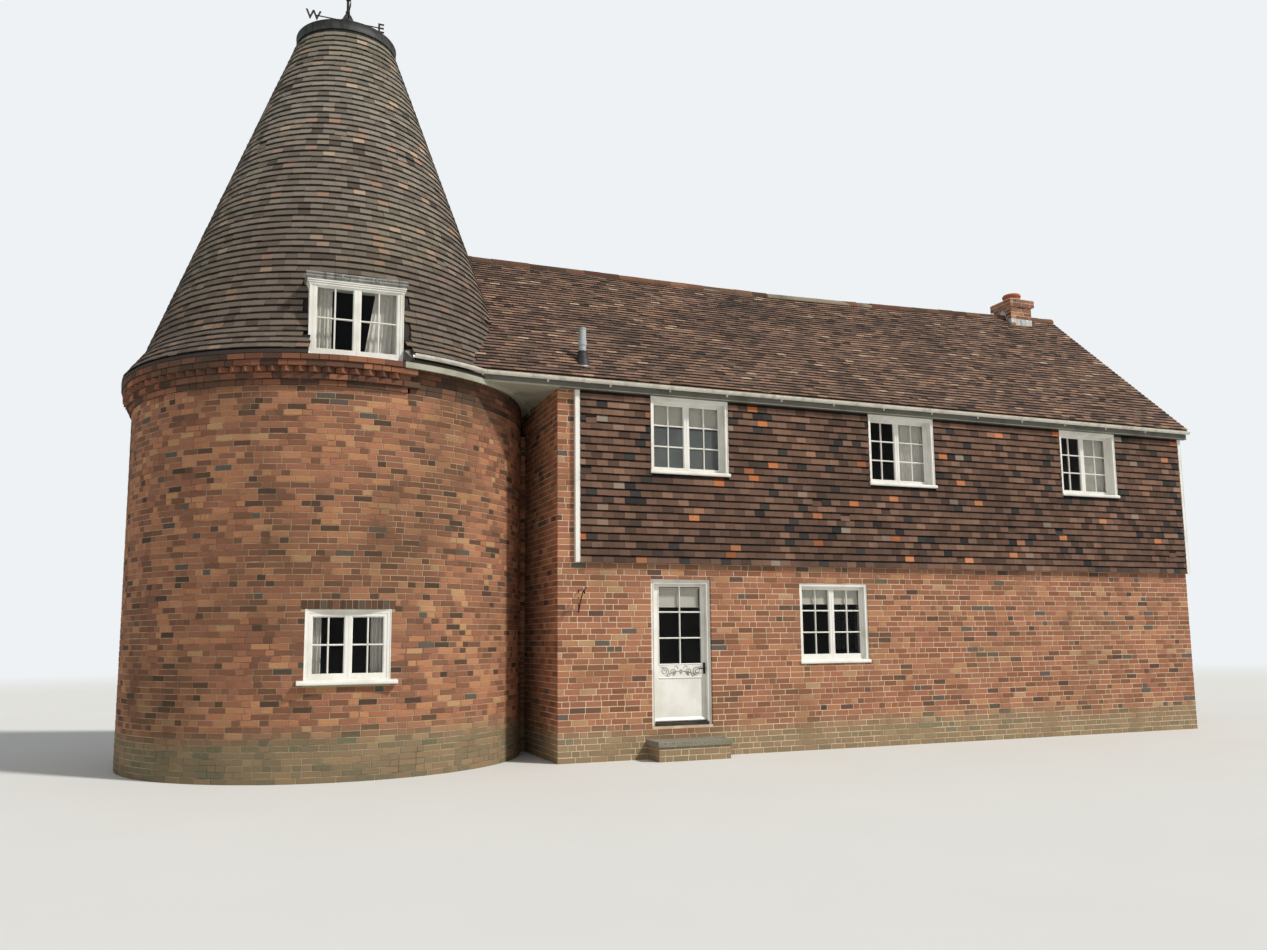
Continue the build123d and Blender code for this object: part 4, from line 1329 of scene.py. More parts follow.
@dataclass(frozen=True)
class Bond:
    """How bricks are laid in courses."""

    course: float = 0.0825
    stretcher: float = 0.217
    header: float = 0.104
    joint: float = 0.0115
    header_share: float = 0.3
    proud: float = 0.005
    bed: float = 0.014
    shortest: float = 0.045
    wobble: float = 0.0016
    skin: float = 0.0016
    touch: float = 0.004
    sliver: float = 0.03
    thinnest: float = 0.02

    def row(self, start: float, end: float, rng: np.random.Generator) -> list[tuple[float, float]]:
        """The ends of the bricks in a course, closed with a cut brick.

        Args:
            start: Where the course starts.
            end: Where it ends.
            rng: The source of chance.

        Returns:
            The start and end of each brick.
        """
        bricks = []
        place = start - rng.uniform(0, self.stretcher)
        while place < end:
            length = self.header if rng.random() < self.header_share else self.stretcher
            low, high = max(place, start), min(place + length, end)
            if high - low > self.shortest:
                bricks.append((low, high))
            elif bricks and low > start:
                bricks[-1] = (bricks[-1][0], high)
            place += length + self.joint
        if bricks:
            bricks[0] = (start, bricks[0][1])
        return bricks

    def lay(
        self,
        span: tuple[float, float],
        rise: tuple[float, float],
        rng: np.random.Generator,
        gaps: Sequence[Gap] = (),
        reach: float = 1.0,
    ) -> Cells:
        """Fills a stretch of wall with bricks.

        Args:
            span: Where the wall starts and ends, along it in metres.
            rise: Its foot and head.
            rng: The source of chance.
            gaps: What the bricks leave free.
            reach: How many metres one unit of the surface's way along has.

        Returns:
            One cell for each brick.
        """
        rows = []
        courses = math.ceil((rise[1] - rise[0]) / self.course - 0.2)
        first, last = span
        for number in range(courses):
            low = rise[0] + number * self.course
            high = min(low + self.course - self.joint, rise[1])
            met = [gap for gap in gaps if gap.foot < high - self.touch and gap.head > low + self.touch]
            sides = [side for gap in met for side in (gap.start, gap.end)]
            edges = sorted({first, last, *[min(max(side, first), last) for side in sides]})
            for left, right in zip(edges, edges[1:]):
                middle = (left + right) / 2
                foot, head = low, high
                for gap in met:
                    if gap.start < middle < gap.end:
                        foot = gap.head if gap.foot <= low + self.sliver else foot
                        head = gap.foot if gap.head >= high - self.sliver else head
                if min(head - foot, right - left) < self.thinnest:
                    continue
                before = next((gap for gap in met if abs(gap.end - left) < 1e-6), None)
                after = next((gap for gap in met if abs(gap.start - right) < 1e-6), None)
                bricks = self.row(left, right, rng)
                for index, (start, end) in enumerate(bricks):
                    bed = self.bed
                    if before and index == 0:
                        bed, start = max(bed, before.reveal), start - self.skin
                    if after and index == len(bricks) - 1:
                        bed, end = max(bed, after.reveal), end + self.skin
                    proud = self.proud + rng.uniform(-self.wobble, self.wobble)
                    nudge = rng.uniform(0, self.wobble)
                    centre = ((start + end) / 2 / reach, (foot + head) / 2 + nudge, -bed)
                    size = (end - start, head - foot, bed + proud)
                    rows.append((*centre, *size, rng.random(), 0.0, 0.0))
        return Cells.of(rows, reach)


def model_brick() -> Pattern:
    """Models one brick: a block whose face has worn edges."""
    piece = Bench.block("brick", Box(-0.1075, -0.0355, 0.0, 0.1075, 0.0355, 0.02))
    with Bench.faces(piece, lambda face: face.normal.z > 0.9):
        bpy.ops.mesh.bevel(offset=0.003, segments=1, affect="EDGES")
    return Pattern(piece)


def model_tooth(height: float) -> Pattern:
    """Models one dog tooth: a brick laid cornerwise."""
    Bench.clear()
    bpy.ops.mesh.primitive_cylinder_add(vertices=4, radius=0.075, depth=height)
    piece = bpy.context.object
    with Bench.editing():
        bpy.ops.transform.rotate(value=math.pi / 2, orient_axis="X", center_override=(0, 0, 0))
        bpy.ops.mesh.bevel(offset=0.002, segments=1, affect="EDGES")
    return Pattern(piece)


@dataclass
class Brickwork:
    """The bricks of the stowage, the kiln, its cornice and the chimney."""

    bond: Bond = Bond()
    kiln_bond: Bond = Bond(course=0.075, joint=0.0095, header_share=0.42)
    chimney_bond: Bond = Bond(course=0.075, joint=0.01, header_share=0.6)
    sash_reveal: float = 0.017
    door_reveal: float = 0.042
    kiln_reveal: float = 0.055
    lowest_window: float = 1.0
    half_brick: float = 0.11
    rake_clearance: float = 0.045
    soldier_height: float = 0.108
    soldier_width: float = 0.068
    soldier_joint: float = 0.009
    soldier_bed: float = 0.002
    soldier_tone: float = 0.13
    soldier_wobble: float = 0.003
    head_bearing: float = 0.05
    frame_lap: float = 0.065
    open_side: float = 0.985
    chimney_foot: float = 7.2
    chimney_cap: float = 0.15
    wrap: float = 0.005
    tooth_course: int = 2
    tooth_count: int = 108
    tooth_joint: float = 0.01
    mortar_depth: float = 0.007

    def __post_init__(self) -> None:
        """Reads the walls from the frame and models the brick."""
        self.rng = np.random.default_rng(SEED)
        self.brick = model_brick()
        self.front = Box.of("front_wall_right")
        self.left = Box.of("front_wall_left")
        self.back = Box.of("back_wall")
        self.door = Box.of("door_frame")
        self.storey = self.front.z1
        self.soffit = Box.of("eaves_boards").z0
        self.kiln_face = RoundWall(KILN_X, KILN_Y, KILN_RADIUS)

    def build(self) -> None:
        """Lays all the brickwork."""
        self.stowage_front()
        self.stowage_sides()
        self.kiln()
        self.cornice()
        self.chimney()
        self.step()

    def stowage_front(self) -> None:
        """The ground floor front, with its doorway and window."""
        foot = self.left.z0 + Box.of("doorway_foot").z1
        gaps = [Gap(self.door.x0, self.door.x1, foot, self.door.z1, self.door_reveal)]
        gaps += self.window_gaps("front_window_frames", 1)
        lower = self.bond.lay((-self.wrap, self.front.x1 + self.wrap), (0, self.storey), self.rng, gaps)
        corner = min(board.x0 for board in solids_of("corner_boards") if board.y0 < 0)
        upper = self.bond.lay((-self.wrap, corner), (self.storey, self.soffit), self.rng)
        self.face("front_bricks", (lower, upper), FlatFace((0, 0, 0), (1, 0, 0)))

    def window_gaps(self, node: str, side: int) -> list[Gap]:
        """The gaps of a long wall's ground floor windows, as seen from outside.

        Args:
            node: The window frames' node.
            side: 1 at the front, and -1 at the back.

        Returns:
            One gap for each window.
        """
        windows = [box for box in solids_of(node) if box.z0 < self.storey - self.lowest_window]
        edges = [(*sorted((side * box.x0, side * box.x1)), box.z0, box.z1) for box in windows]
        return [Gap(*edge, self.sash_reveal) for edge in edges]

    def face(self, name: str, parts: Sequence[Cells], surface: Surface) -> None:
        """Lays the stowage's bricks on one face."""
        settle(self.brick.lay(name, Cells.joined(parts), surface), STOWAGE_BRICK)

    def stowage_sides(self) -> None:
        """The left and right ends and the back."""
        gaps = self.window_gaps("back_window_frames", -1)
        depth = self.back.y1
        length = self.back.x1
        lower = self.bond.lay((-length - self.wrap, self.wrap), (0, self.storey), self.rng, gaps)
        corner = min(board.x0 for board in solids_of("corner_boards") if board.y0 > 0)
        upper = self.bond.lay((-corner, self.wrap), (self.storey, self.soffit), self.rng)
        self.face("back_bricks", (lower, upper), FlatFace((0, depth, 0), (-1, 0, 0)))
        lower = self.bond.lay((0, depth), (0, self.storey), self.rng)
        self.face("right_end_bricks", (lower,), FlatFace((length, 0, 0), (0, 1, 0)))
        outline = points_of("left_end_wall")
        rake = {}
        for _, y, z in outline[outline[:, 0] < 0.01]:
            rake[round(y, 2)] = max(rake.get(round(y, 2), 0.0), z)
        gable = self.bond.lay((-depth, 0), (self.soffit, max(rake.values())), self.rng)
        ends = np.abs(gable.middles[:, 0]) + np.array([[-self.half_brick], [self.half_brick]])
        tops = np.interp(ends, sorted(rake), [rake[y] for y in sorted(rake)]).min(axis=0)
        lower = self.bond.lay((-depth, 0), (0, self.soffit), self.rng)
        upper = gable.kept(gable.middles[:, 1] < tops - self.rake_clearance)
        self.face("left_end_bricks", (lower, upper), FlatFace((0, 0, 0), (0, -1, 0)))

    def kiln(self) -> None:
        """The kiln's round wall, with a soldier course over its window."""
        window = Box.of("kiln_window_frame")
        head = window.z1
        left, right = (
            math.asin((x - KILN_X) / KILN_RADIUS) * KILN_RADIUS
            for x in (window.x0 + self.frame_lap, window.x1 - self.frame_lap)
        )
        first, last = left - self.head_bearing, right + self.head_bearing
        gaps = (
            Gap(left, right, window.z0, head, self.kiln_reveal),
            Gap(first, last, head, head + self.soldier_height + 2 * self.soldier_bed),
        )
        half = math.pi * KILN_RADIUS
        top = Box.of("kiln_wall_front").z1
        cells = self.kiln_bond.lay((-half, half), (0, top), self.rng, gaps, KILN_RADIUS)
        soldiers = self.soldiers(first, last, head)
        cells = cells.kept(np.cos(cells.middles[:, 0] - math.pi / 2) <= self.open_side)
        quarters = np.floor(cells.middles[:, 0] / (math.pi / 2) + 0.5) % 4
        for name, quarter in (("front", 0), ("right", 1), ("left", 3), ("back", 2)):
            part = cells.kept(quarters == quarter)
            part = Cells.joined((part, soldiers)) if name == "front" else part
            settle(self.brick.lay(f"kiln_bricks_{name}", part, self.kiln_face), KILN_BRICK)
        self.link(top)

    def soldiers(self, first: float, last: float, foot: float) -> Cells:
        """The upright bricks over the kiln's window.

        Args:
            first: Where they start, round the wall in metres.
            last: Where they end.
            foot: The level that they stand on.

        Returns:
            One cell for each brick.
        """
        count = round((last - first) / (self.soldier_width + self.soldier_joint))
        pitch = (last - first) / count
        height, reveal = self.soldier_height, self.kiln_reveal
        middle = foot + self.soldier_bed + height / 2
        rows = []
        for number in range(count):
            proud = self.kiln_bond.proud + self.rng.uniform(0, self.soldier_wobble)
            centre = ((first + (number + 0.5) * pitch) / KILN_RADIUS, middle, -reveal)
            size = (pitch - self.soldier_joint, height, reveal + proud)
            rows.append((*centre, *size, self.rng.uniform(0.0, self.soldier_tone), 0.0, 0.0))
        return Cells.of(rows, KILN_RADIUS)

    def link(self, top: float) -> None:
        """The short wall that joins the kiln to the stowage, on both its faces."""
        points = points_of("kiln_wall_right")
        near = points[points[:, 0] > -0.01]
        y0, y1 = near[:, 1].min(), near[:, 1].max()
        start = KILN_X + math.sqrt(KILN_RADIUS**2 - (KILN_Y - y0) ** 2)
        front = self.kiln_bond.lay((start, 0), (0, top), self.rng)
        back = self.kiln_bond.lay((0, -start), (0, top), self.rng)
        faces = [
            self.brick.lay("link_front", front, FlatFace((0, y0, 0), (1, 0, 0))),
            self.brick.lay("link_back", back, FlatFace((0, y1, 0), (-1, 0, 0))),
        ]
        settle(Bench.join(faces, "link_bricks"), KILN_BRICK)

    def cornice(self) -> None:
        """The cornice: stepped courses and one of dog teeth, plain where the stowage's eaves sweep in."""
        box = Box.of("kiln_cornice")
        points = points_of("kiln_cornice")
        points = points[points[:, 0] < KILN_X]
        radii = kiln_radii(points).round(3)
        inner = float(radii.min())
        bond, course = self.kiln_bond, self.kiln_bond.course
        bricks, beds, teeth = [], [], []
        for number in range(round(box.size.z / course)):
            low = box.z0 + number * course
            foot, head = (set(radii[np.abs(points[:, 2] - z) < 0.002]) for z in (low, low + course))
            steps = sorted(foot & head)
            radius = steps[-2] if number == self.tooth_course else steps[-1]
            for reach, outside in ((float(radius), True), (KILN_RADIUS, False)):
                ring = ((-math.pi * reach, math.pi * reach), (low, low + course), self.rng, (), reach)
                if number == self.tooth_course and outside:
                    teeth.append(self.tooth_cells(low, reach, float(steps[-1])))
                else:
                    row = bond.lay(*ring)
                    row.middles[:, 2] += reach - KILN_RADIUS - (bond.proud + bond.wobble) * outside
                    bricks.append(self.beside_eaves(row, outside))
                bed = bond.lay(*ring)
                bed.middles[:, 1:] = (low + course / 2, inner - KILN_RADIUS)
                bed.sizes[:, 0] += bond.joint
                bed.sizes[:, 1:] = (course, reach - self.mortar_depth * outside - inner)
                beds.append(self.beside_eaves(bed, outside))
        courses = self.brick.lay("courses", Cells.joined(bricks), self.kiln_face)
        tooth_row = self.beside_eaves(Cells.joined(teeth), True)
        laid = [courses, model_tooth(course).lay("teeth", tooth_row, self.kiln_face)]
        settle(Bench.join(laid, "cornice_bricks"), CORNICE_BRICK, stands_for=("kiln_cornice",))
        settle(self.brick.lay("cornice_mortar", Cells.joined(beds), self.kiln_face), CORNICE_BRICK)

    def tooth_cells(self, low: float, root: float, tip: float) -> Cells:
        """The cells of the dog teeth.

        Args:
            low: Their foot.
            root: The radius that they stand on.
            tip: The radius of their corners.

        Returns:
            One cell for each tooth.
        """
        course = self.kiln_bond.course
        pitch = math.tau / self.tooth_count
        width = pitch * root - self.tooth_joint
        size = (width, course - self.kiln_bond.joint, 2 * (tip - root))
        middle = (low + course / 2, root - KILN_RADIUS)
        tones = [self.rng.uniform(0.3, 1.0) for _ in range(self.tooth_count)]
        rows = [(n * pitch, *middle, *size, tone, 0.0, 0.0) for n, tone in enumerate(tones)]
        cells = Cells.of(rows, root)
        cells.middles[:, 0] = (cells.middles[:, 0] + math.pi) % math.tau - math.pi
        return cells

    def beside_eaves(self, cells: Cells, outside: bool) -> Cells:
        """The cells of the stepped cornice, or those of the plain wall where the eaves sweep in."""
        swept = points_of("swept_eaves")
        front_end = swept[swept[:, 1] < KILN_Y][:, 0].min()
        back_end = swept[swept[:, 1] > KILN_Y][:, 0].min()
        x, y, _ = self.kiln_face.place(cells.middles).T
        in_sweep = np.where(y < KILN_Y, x > front_end, x > back_end)
        return cells.kept(in_sweep != outside)

    def chimney(self) -> None:
        """The chimney above the roof, with its oversailing cap."""
        box = Box.of("chimney_stack")
        reach = CHIMNEY_CAP_REACH
        shaft = Box(box.x0 + reach, box.y0 + reach, self.chimney_foot, box.x1 - reach, box.y1 - reach, box.z1)
        cap_foot = box.z1 - self.chimney_cap
        pieces = []
        for part, low, high in ((shaft, shaft.z0, cap_foot), (box, cap_foot, box.z1)):
            for face, start, end in (
                (FlatFace((0, part.y0, 0), (1, 0, 0)), part.x0 - self.wrap, part.x1 + self.wrap),
                (FlatFace((0, part.y1, 0), (-1, 0, 0)), -part.x1 - self.wrap, -part.x0 + self.wrap),
                (FlatFace((part.x1, 0, 0), (0, 1, 0)), part.y0, part.y1),
                (FlatFace((part.x0, 0, 0), (0, -1, 0)), -part.y1, -part.y0),
            ):
                cells = self.chimney_bond.lay((start, end), (low, high), self.rng)
                pieces.append(self.brick.lay("chimney_side", cells, face))
        settle(Bench.join(pieces, "chimney_bricks"), STOWAGE_BRICK)

    def step(self) -> None:
        """The bricks under the doorstep."""
        box = Box.of("step_base")
        pieces = []
        for face, start, end in (
            (FlatFace((0, box.y0, 0), (1, 0, 0)), box.x0 - self.wrap, box.x1 + self.wrap),
            (FlatFace((box.x1, 0, 0), (0, 1, 0)), box.y0, box.y1 - self.wrap),
            (FlatFace((box.x0, 0, 0), (0, -1, 0)), -box.y1 + self.wrap, -box.y0),
        ):
            cells = self.bond.lay((start, end), (0.0, box.z1), self.rng)
            pieces.append(self.brick.lay("step_side", cells, face))
        settle(Bench.join(pieces, "step_bricks"), STOWAGE_BRICK)


# Tiles


@dataclass(frozen=True)
class TileBond:
    """How plain tiles are laid or hung."""

    gauge: float = 0.1
    width: float = 0.165
    gap: float = 0.0024
    length: float = 0.14
    thickness: float = 0.013
    tail: float = 0.014
    fall: float = 0.13
    skew: float = 0.009
    lift: float = 0.003
    slip_share: float = 0.006
    slip: float = 0.03
    slip_turn: float = 4.0
    wobble: float = 0.0015
    shadow: float = 0.026
    narrowest: float = 0.03

    def course(
        self,
        start: float,
        end: float,
        up: float,
        half: bool,
        rng: np.random.Generator,
        reach: float = 1.0,
        ring: bool = False,
    ) -> Cells:
        """One course of tiles.

        Args:
            start: Where the course starts, in the surface's own units.
            end: Where it ends.
            up: Where the tiles' tails lie, up the surface.
            half: Whether the course starts with half a tile.
            rng: The source of chance.
            reach: How many metres one unit of the way along has.
            ring: Whether the course runs all the way round.

        Returns:
            One cell for each tile.
        """
        span = (end - start) * reach
        count = max(1, round(span / self.width))
        pitch = span / count if ring else self.width
        first = -pitch / 2 if half else 0.0
        rows = []
        for number in range(count + 1 + (not ring)):
            low = first + number * pitch
            high = low + pitch - self.gap
            if not ring:
                low, high = max(low, 0.0), min(high, span)
            elif number >= count:
                continue
            if high - low < self.narrowest:
                continue
            slipped = rng.random() < self.slip_share
            drop = rng.uniform(0.3, 1.0) * self.slip if slipped else 0.0
            centre = (
                start + (low + high) / 2 / reach,
                up + self.length / 2 - drop + rng.uniform(-self.wobble, self.wobble),
                self.tail - self.fall * self.length / 2 + rng.uniform(0, self.lift),
            )
            size = (high - low, self.length, self.thickness)
            tone = rng.random()
            turn = rng.normal(0, self.skew) * (self.slip_turn if slipped else 1)
            rows.append((*centre, *size, tone, turn, self.fall))
        return Cells.of(rows, reach)

    def cover(
        self,
        foot: float,
        count: int,
        rng: np.random.Generator,
        spans_at: Callable[[float], Sequence[tuple[float, float]]],
        radius_at: Callable[[float], float] | None = None,
    ) -> Cells:
        """Courses one above another.

        Args:
            foot: Where the lowest course's tails lie.
            count: The number of courses.
            rng: The source of chance.
            spans_at: Gives the stretches of the course at a height.
            radius_at: Gives the radius there, where the courses run all the way round.

        Returns:
            One cell for each tile.
        """
        rows = []
        for number in range(count):
            up = foot + number * self.gauge
            reach = float(radius_at(up)) if radius_at else 1.0
            for start, end in spans_at(up):
                rows.append(self.course(start, end, up, bool(number % 2), rng, reach, radius_at is not None))
        return Cells.joined(rows)


def model_tile(bond: TileBond) -> Pattern:
    """Models one plain tile, with an edge where the next course's shadow starts.

    Args:
        bond: The tile's sizes.

    Returns:
        The tile's pattern.
    """
    half = bond.length / 2
    piece = Bench.block("tile", Box(-bond.width / 2, -half, 0.0, bond.width / 2, half, bond.thickness))
    cover = bond.gauge - bond.shadow - half
    with Bench.editing():
        bpy.ops.mesh.bisect(plane_co=(0, cover, 0), plane_no=(0, 1, 0))
    return Pattern(piece, cover)


@dataclass
class TileCoverings:
    """The tiles of the main roof, the kiln and the hung walls."""

    roof_bond: TileBond = TileBond()
    kiln_bond: TileBond = TileBond(
        gauge=0.108, width=0.16, skew=0.012, lift=0.005, slip_share=0.01, length=0.148
    )
    hung_bond: TileBond = TileBond(gauge=0.105, tail=0.013, fall=0.115, skew=0.008, lift=0.004, length=0.145)
    verge: float = 0.006
    ridge_cover: float = 0.09
    clearance: float = 0.02
    ridge_sag: float = 0.27
    bell_rise: tuple[float, float] = (0.05, 0.5)
    bell_inset: float = 0.3
    skirt_start: float = 0.03
    cone_margin: float = 0.1
    dormer_margin: float = 0.03
    valley: tuple[float, float] = (-2.3, -0.14)
    valley_depth: float = 0.06
    lap_share: float = 0.8
    gable_depth: float = 0.12

    def __post_init__(self) -> None:
        """Reads the roofs from the frame and models the tile."""
        self.rng = np.random.default_rng(SEED + 1)
        self.tile = model_tile(self.roof_bond)
        roof = Box.of("front_roof")
        points = points_of("front_roof")
        on_ridge = points[(points[:, 1] > roof.y1 - 0.004) & (points[:, 2] > roof.z1 - self.ridge_sag)]
        tops = {}
        for x, _, z in on_ridge:
            tops[round(x, 2)] = max(tops.get(round(x, 2), 0.0), z)
        self.ridge_x = tuple(sorted(tops))
        self.ridge_z = tuple(tops[x] for x in self.ridge_x)
        eaves = points[(points[:, 1] < roof.y0 + 0.002) & (points[:, 0] > roof.x1 - 0.01)]
        self.front = RoofSlope(roof.y0, float(eaves[:, 2].max()), roof.y1, self.ridge_x, self.ridge_z)
        back = Box.of("back_roof")
        self.back = RoofSlope(back.y1, self.front.eaves_z, roof.y1, self.ridge_x, self.ridge_z)
        kiln = Box.of("kiln_roof")
        shell = points_of("kiln_roof")
        radii = kiln_radii(shell)
        foot = float(radii.max())
        lip = float(shell[radii > foot - 0.003][:, 2].max())
        low, high = (lip + rise for rise in self.bell_rise)
        in_bell = (shell[:, 2] > low) & (shell[:, 2] < high) & (radii > foot - self.bell_inset)
        bell_band = shell[in_bell]
        bell = float(bell_band[:, 2].max())
        bell_ring = bell_band[bell_band[:, 2] > bell - 0.01]
        bell_radius = float(kiln_radii(bell_ring).max())
        top_radius = float(radii[shell[:, 2] > kiln.z1 - 0.01].max())
        self.skirt = ConeSide(KILN_X, KILN_Y, foot - self.verge - 0.003, lip, bell_radius, bell)
        self.cone = ConeSide(KILN_X, KILN_Y, bell_radius, bell, top_radius, kiln.z1)

    def cone_radius_at(self, level: np.ndarray) -> np.ndarray:
        """The kiln roof's radius at a height."""
        return np.interp(
            level,
            (self.skirt.foot - 0.04, self.skirt.foot, self.cone.foot, self.cone.top),
            (self.skirt.foot_radius, self.skirt.foot_radius, self.cone.foot_radius, self.cone.top_radius),
        )

    def build(self) -> None:
        """Lays every covering."""
        self.main_roof()
        self.kiln_roof()
        self.link_roof()
        self.hung_walls()

    def clear_of_kiln(self, spot: np.ndarray, margin: float = 0.0) -> np.ndarray:
        """A mask of the places outside the kiln's cone."""
        away = kiln_radii(spot)
        return away > self.cone_radius_at(spot[:, 2]) + margin

    def roof_level(self, x: np.ndarray, y: np.ndarray) -> np.ndarray:
        """The height of the main roof above a point of the plan."""
        ridge = self.front.ridge_y
        front = self.front.level_at(x, np.minimum(y, ridge))
        return np.minimum(front, self.back.level_at(x, np.maximum(y, ridge)))

    def main_roof(self) -> None:
        """Both slopes of the main roof."""
        chimney = Box.of("chimney_stack")
        vent = Box.of("vent_pipe")
        bond = self.roof_bond
        inset = CHIMNEY_CAP_REACH + self.clearance
        for name, slope in (("front_roof_tiles", self.front), ("back_roof_tiles", self.back)):
            end = Box.of("front_roof").x1 - self.verge
            low = KILN_X if slope.side > 0 else Box.of("back_roof").x0
            span = sorted((slope.side * low, slope.side * end))
            count = int((slope.length - self.ridge_cover) / bond.gauge) + 1
            cells = bond.cover(self.verge, count, self.rng, lambda up: [span])
            spot = slope.place(cells.middles)
            x, y = spot[:, 0], spot[:, 1]
            in_chimney = (x > chimney.x0 + inset) & (x < chimney.x1 - inset)
            in_chimney &= (y > chimney.y0 + inset) & (y < chimney.y1 - inset)
            keep = self.clear_of_kiln(spot, -self.clearance) & ~in_chimney
            keep &= np.hypot(x - vent.centre.x, y - vent.centre.y) > vent.size.x / 2 + self.clearance
            settle(self.tile.lay(name, cells.kept(keep), slope), ROOF_TILE)

    def kiln_roof(self) -> None:
        """The kiln's cone, and the flare at its foot."""
        dormer = Box.of("dormer_window_frame")
        head = Box.of("dormer_roof").z1 + self.clearance
        bond = self.kiln_bond
        pieces = []
        left, right = dormer.x0 - self.dormer_margin, dormer.x1 + self.dormer_margin
        start, end = self.valley
        slopes = ((self.skirt, self.skirt_start, self.skirt_start), (self.cone, 0.0, self.cone_margin))
        for side, first, margin in slopes:
            count = int((side.length - margin - first) / bond.gauge) + 1
            cells = bond.cover(first, count, self.rng, lambda up: [(-math.pi, math.pi)], side.radius_at)
            x, y, z = side.place(cells.middles).T
            behind_dormer = (x > left) & (x < right) & (y < KILN_Y) & (z < head)
            over_stowage = (x > start) & (y > self.front.eaves_y) & (y < self.back.eaves_y)
            on_front = (y < self.front.ridge_y) | (x > end)
            hidden = over_stowage & (z < self.roof_level(x, y) - self.valley_depth) & on_front
            cells = cells.kept(~(behind_dormer | hidden))
            pieces.append(self.tile.lay(f"kiln_tiles_{len(pieces)}", cells, side))
        settle(Bench.join(pieces, "kiln_roof_tiles"), KILN_TILE)

    def link_roof(self) -> None:
        """The steep slope between the kiln and the back of the stowage."""
        points = points_of("link_roof")
        box = Box.of("link_roof")
        upper = points[points[:, 2] > box.z1 - 0.1]
        _, top_y, top_z = upper[upper[:, 1].argmax()]
        run, rise = box.y1 - top_y, top_z - box.z0
        length = math.hypot(run, rise)
        face = FlatFace((0.0, box.y1, box.z0), (-1, 0, 0), (0.0, -run / length, rise / length))
        count = int((length + 0.05) / self.kiln_bond.gauge)
        cells = self.kiln_bond.cover(0.0, count, self.rng, lambda up: [(0.004, -box.x0)])
        keep = self.clear_of_kiln(face.place(cells.middles), -self.clearance)
        settle(self.tile.lay("link_roof_tiles", cells.kept(keep), face), KILN_TILE)

    def hung_walls(self) -> None:
        """The tiles hung on the front, the back and the right gable."""
        bond = self.hung_bond
        front, back = Box.of("front_tile_hanging"), Box.of("back_tile_hanging")
        for name, box, y, side in (("front", front, front.y0, 1), ("back", back, back.y1, -1)):
            start, stop = sorted((side * box.x0, side * box.x1))
            windows = [b for b in solids_of(f"{name}_window_frames") if b.z0 > box.z0]

            def spans_at(up: float) -> list[tuple[float, float]]:
                """The stretches of a course beside the windows."""
                ends = [start, stop]
                for window in windows:
                    if window.z0 < up + bond.gauge * self.lap_share and window.z1 > up + self.clearance:
                        ends += [side * window.x0, side * window.x1]
                ends = sorted(ends)
                return list(zip(ends[::2], ends[1::2]))

            cells = bond.cover(box.z0, int((box.z1 - box.z0) / bond.gauge) + 1, self.rng, spans_at)
            cells = cells.kept(cells.middles[:, 1] < box.z1 - 0.01)
            face = FlatFace((0, y, 0), (side, 0, 0))
            settle(self.tile.lay(f"{name}_hung_tiles", cells, face), HANGING_TILE)
        gable = Box.of("gable_tile_hanging")
        face = FlatFace((gable.x1, 0, 0), (0, 1, 0))
        count = int((gable.z1 - gable.z0) / bond.gauge) + 1
        cells = bond.cover(gable.z0, count, self.rng, lambda up: [(gable.y0 + 0.002, gable.y1 - 0.002)])
        x, y, z = face.place(cells.middles).T
        keep = z < self.roof_level(x, y) - self.gable_depth
        settle(self.tile.lay("gable_hung_tiles", cells.kept(keep), face), HANGING_TILE)


# Joinery


